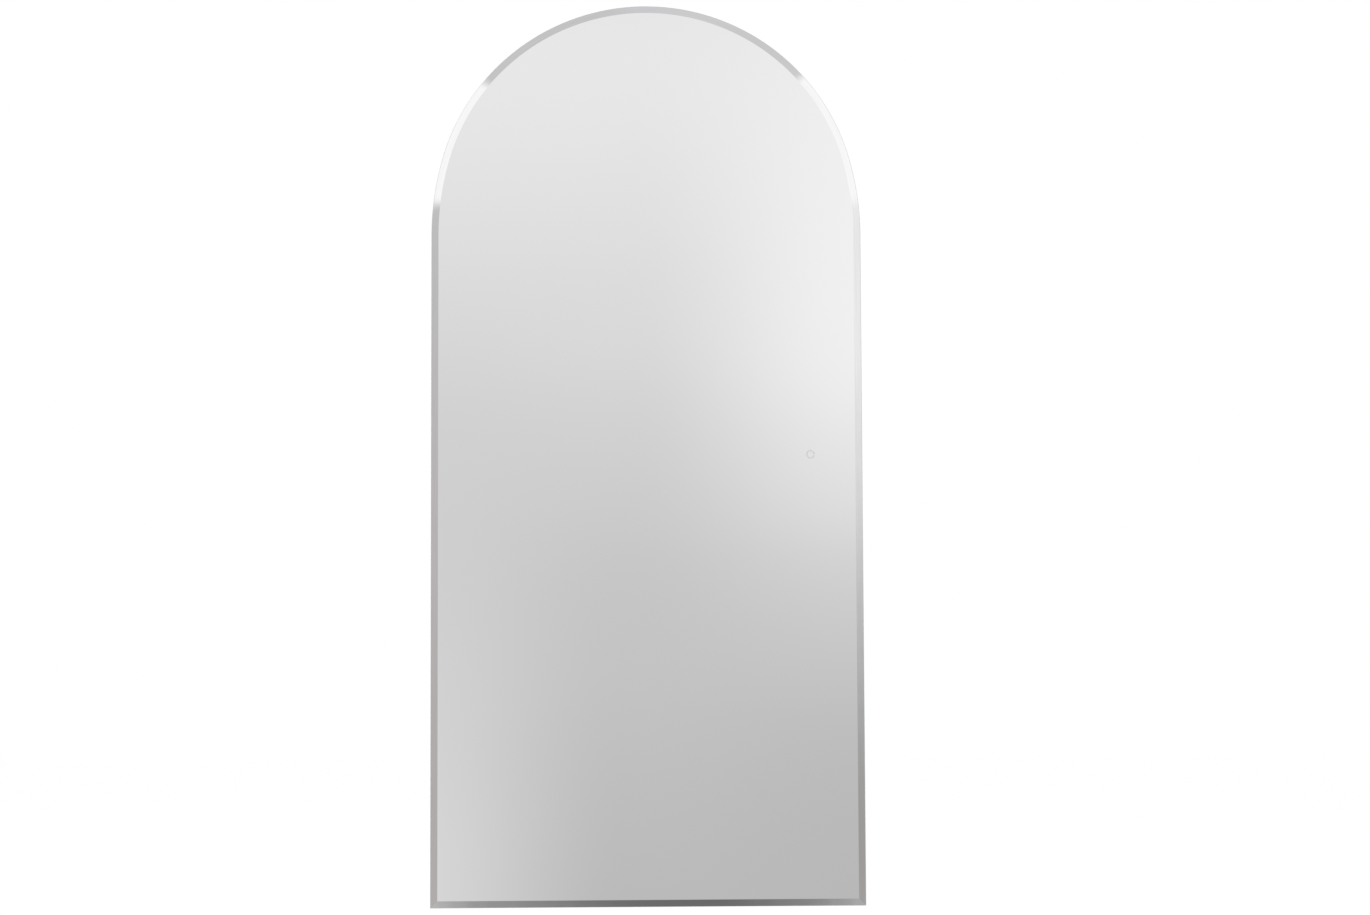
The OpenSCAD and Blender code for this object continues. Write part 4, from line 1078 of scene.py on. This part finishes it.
# %% Tree for a swept lead
sweeping = Maker("swept_lead", {"Thickness": "Float", "Bend": "Float", "Sheath": "Material"})
given = sweeping.node("NodeGroupInput", out="Geometry")
route = sweeping.node("GeometryNodeMeshToCurve", {}, {0: given})
route = sweeping.node("GeometryNodeFilletCurve", {"mode": "POLY"}, {
    "Curve": route, "Radius": given.other("Bend"), "Count": 9, "Limit Radius": True})
round_section = sweeping.node("GeometryNodeCurvePrimitiveCircle", {}, {
    "Resolution": 20, "Radius": given.other("Thickness") / 2})
swept = sweeping.node("GeometryNodeCurveToMesh", {}, {
    "Curve": route, "Profile Curve": round_section, "Fill Caps": True})
swept = sweeping.node("GeometryNodeSetShadeSmooth", {}, {"Geometry": swept})
swept = sweeping.node("GeometryNodeSetMaterial", {}, {
    "Geometry": swept, "Material": given.other("Sheath")})
swept = sweeping.node("GeometryNodeRealizeInstances", {}, {0: swept})
sweeping.node("NodeGroupOutput", {}, {0: swept})

# %% Sweeping a lead
def lead(node, slot, sheath, *sweeps):
    """Remakes one lead. Each sweep is a route, a thickness and a bend, in millimetres."""
    bm = bmesh.new()
    for points, thickness, bend in sweeps:
        route = bpy.data.meshes.new("route")
        legs = [(i, i + 1) for i in range(len(points) - 1)]
        route.from_pydata([[v / 1000 for v in point] for point in points], legs, [])
        bm.from_mesh(sweeping.make(route, {
            "Thickness": thickness / 1000, "Bend": bend / 1000, "Sheath": sheath}))
    for face in bm.faces:
        face.material_index = 0
    mesh = bpy.data.meshes.new(node + "_swept")
    bm.to_mesh(mesh)
    bm.free()
    mesh.materials.append(sheath)
    piece_of(mesh.name, mesh, node)


# %% Where the leads run, in millimetres
gear_low, gear_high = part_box("gear_plate")
brace_low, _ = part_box("lower_brace")
feed_low, feed_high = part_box("feed_grommet")
gear = (gear_low.z + gear_high.z) * 500  # height of the gear plate's middle
brace, feed = brace_low.z * 1000, (feed_low.z + feed_high.z) * 500
touch_x, touch_foot = touch.x * 1000, sensor_low.z * 1000 + 1
port_x, port_y = 145.2, -21.8  # where leads start in the driver
clip_y, feed_y = -26.8, -16  # how far off the wall clips and grommet hold a lead
light_x, feed_x = 236.4, 267.8  # the light lead's way down, and its end in the channel
lead_thick, lead_bend = 4.0, 9
print("gear plate, brace and feed at", [round(z, 1) for z in (gear, brace, feed)])


def from_the_driver(z):
    """The first points of a lead that leaves the driver and comes down into the clips."""
    return [(port_x, port_y, z), (171, port_y, z), (183, clip_y, z)]


# %% Light lead, which parts into two pairs of cores for the strips
light_route = from_the_driver(gear - 10) + [
    (light_x, clip_y, gear - 10), (light_x, clip_y, brace - 4), (light_x, feed_y, brace - 36),
    (light_x, feed_y, feed), (feed_x, feed_y, feed)]
core_x, core_thick = 267.6, 1.4
cores = []
for apart in (-1, 1):
    up_the_leg = [(core_x, feed_y - apart, feed), (core_x, feed_y - apart * 1.6, feed + 6),
                  (267.2, feed_y - apart * 2.5, feed + 13.4),
                  (267.2, feed_y - apart * 2.5, feed + 18.4)]
    cores.append((up_the_leg, core_thick, 2))
for apart in (-1, 1):
    along_the_bottom = [(core_x, feed_y - apart, feed),
                        (core_x, feed_y - apart * 2.5, feed - 19.8),
                        (229, feed_y - apart * 2.5, feed - 19.8)]
    cores.append((along_the_bottom, core_thick, 1.2))
lead("light_lead", "lead_sheath", white_sheath, (light_route, lead_thick, lead_bend), *cores)

# %% Sensor lead
sensor_route = from_the_driver(gear + 10) + [
    (touch_x, clip_y, gear + 10), (touch_x, clip_y, touch_foot)]
lead("sensor_lead", "lead_sheath", white_sheath, (sensor_route, lead_thick, lead_bend))

# %% Earth lead, from the terminal box down to the tag on the gear plate
earth_route = [(-77, port_y, gear - 10), (-70, port_y, gear - 10), (-70, -23.8, gear - 24.2),
               (-70, -23.8, gear - 42), (-60, -26.9, gear - 42), (-54, -26.9, gear - 42)]
earth_thick, earth_bend = 2.6, 2.5
lead("earth_lead", "earth_sheath", earth_sheath, (earth_route, earth_thick, earth_bend))
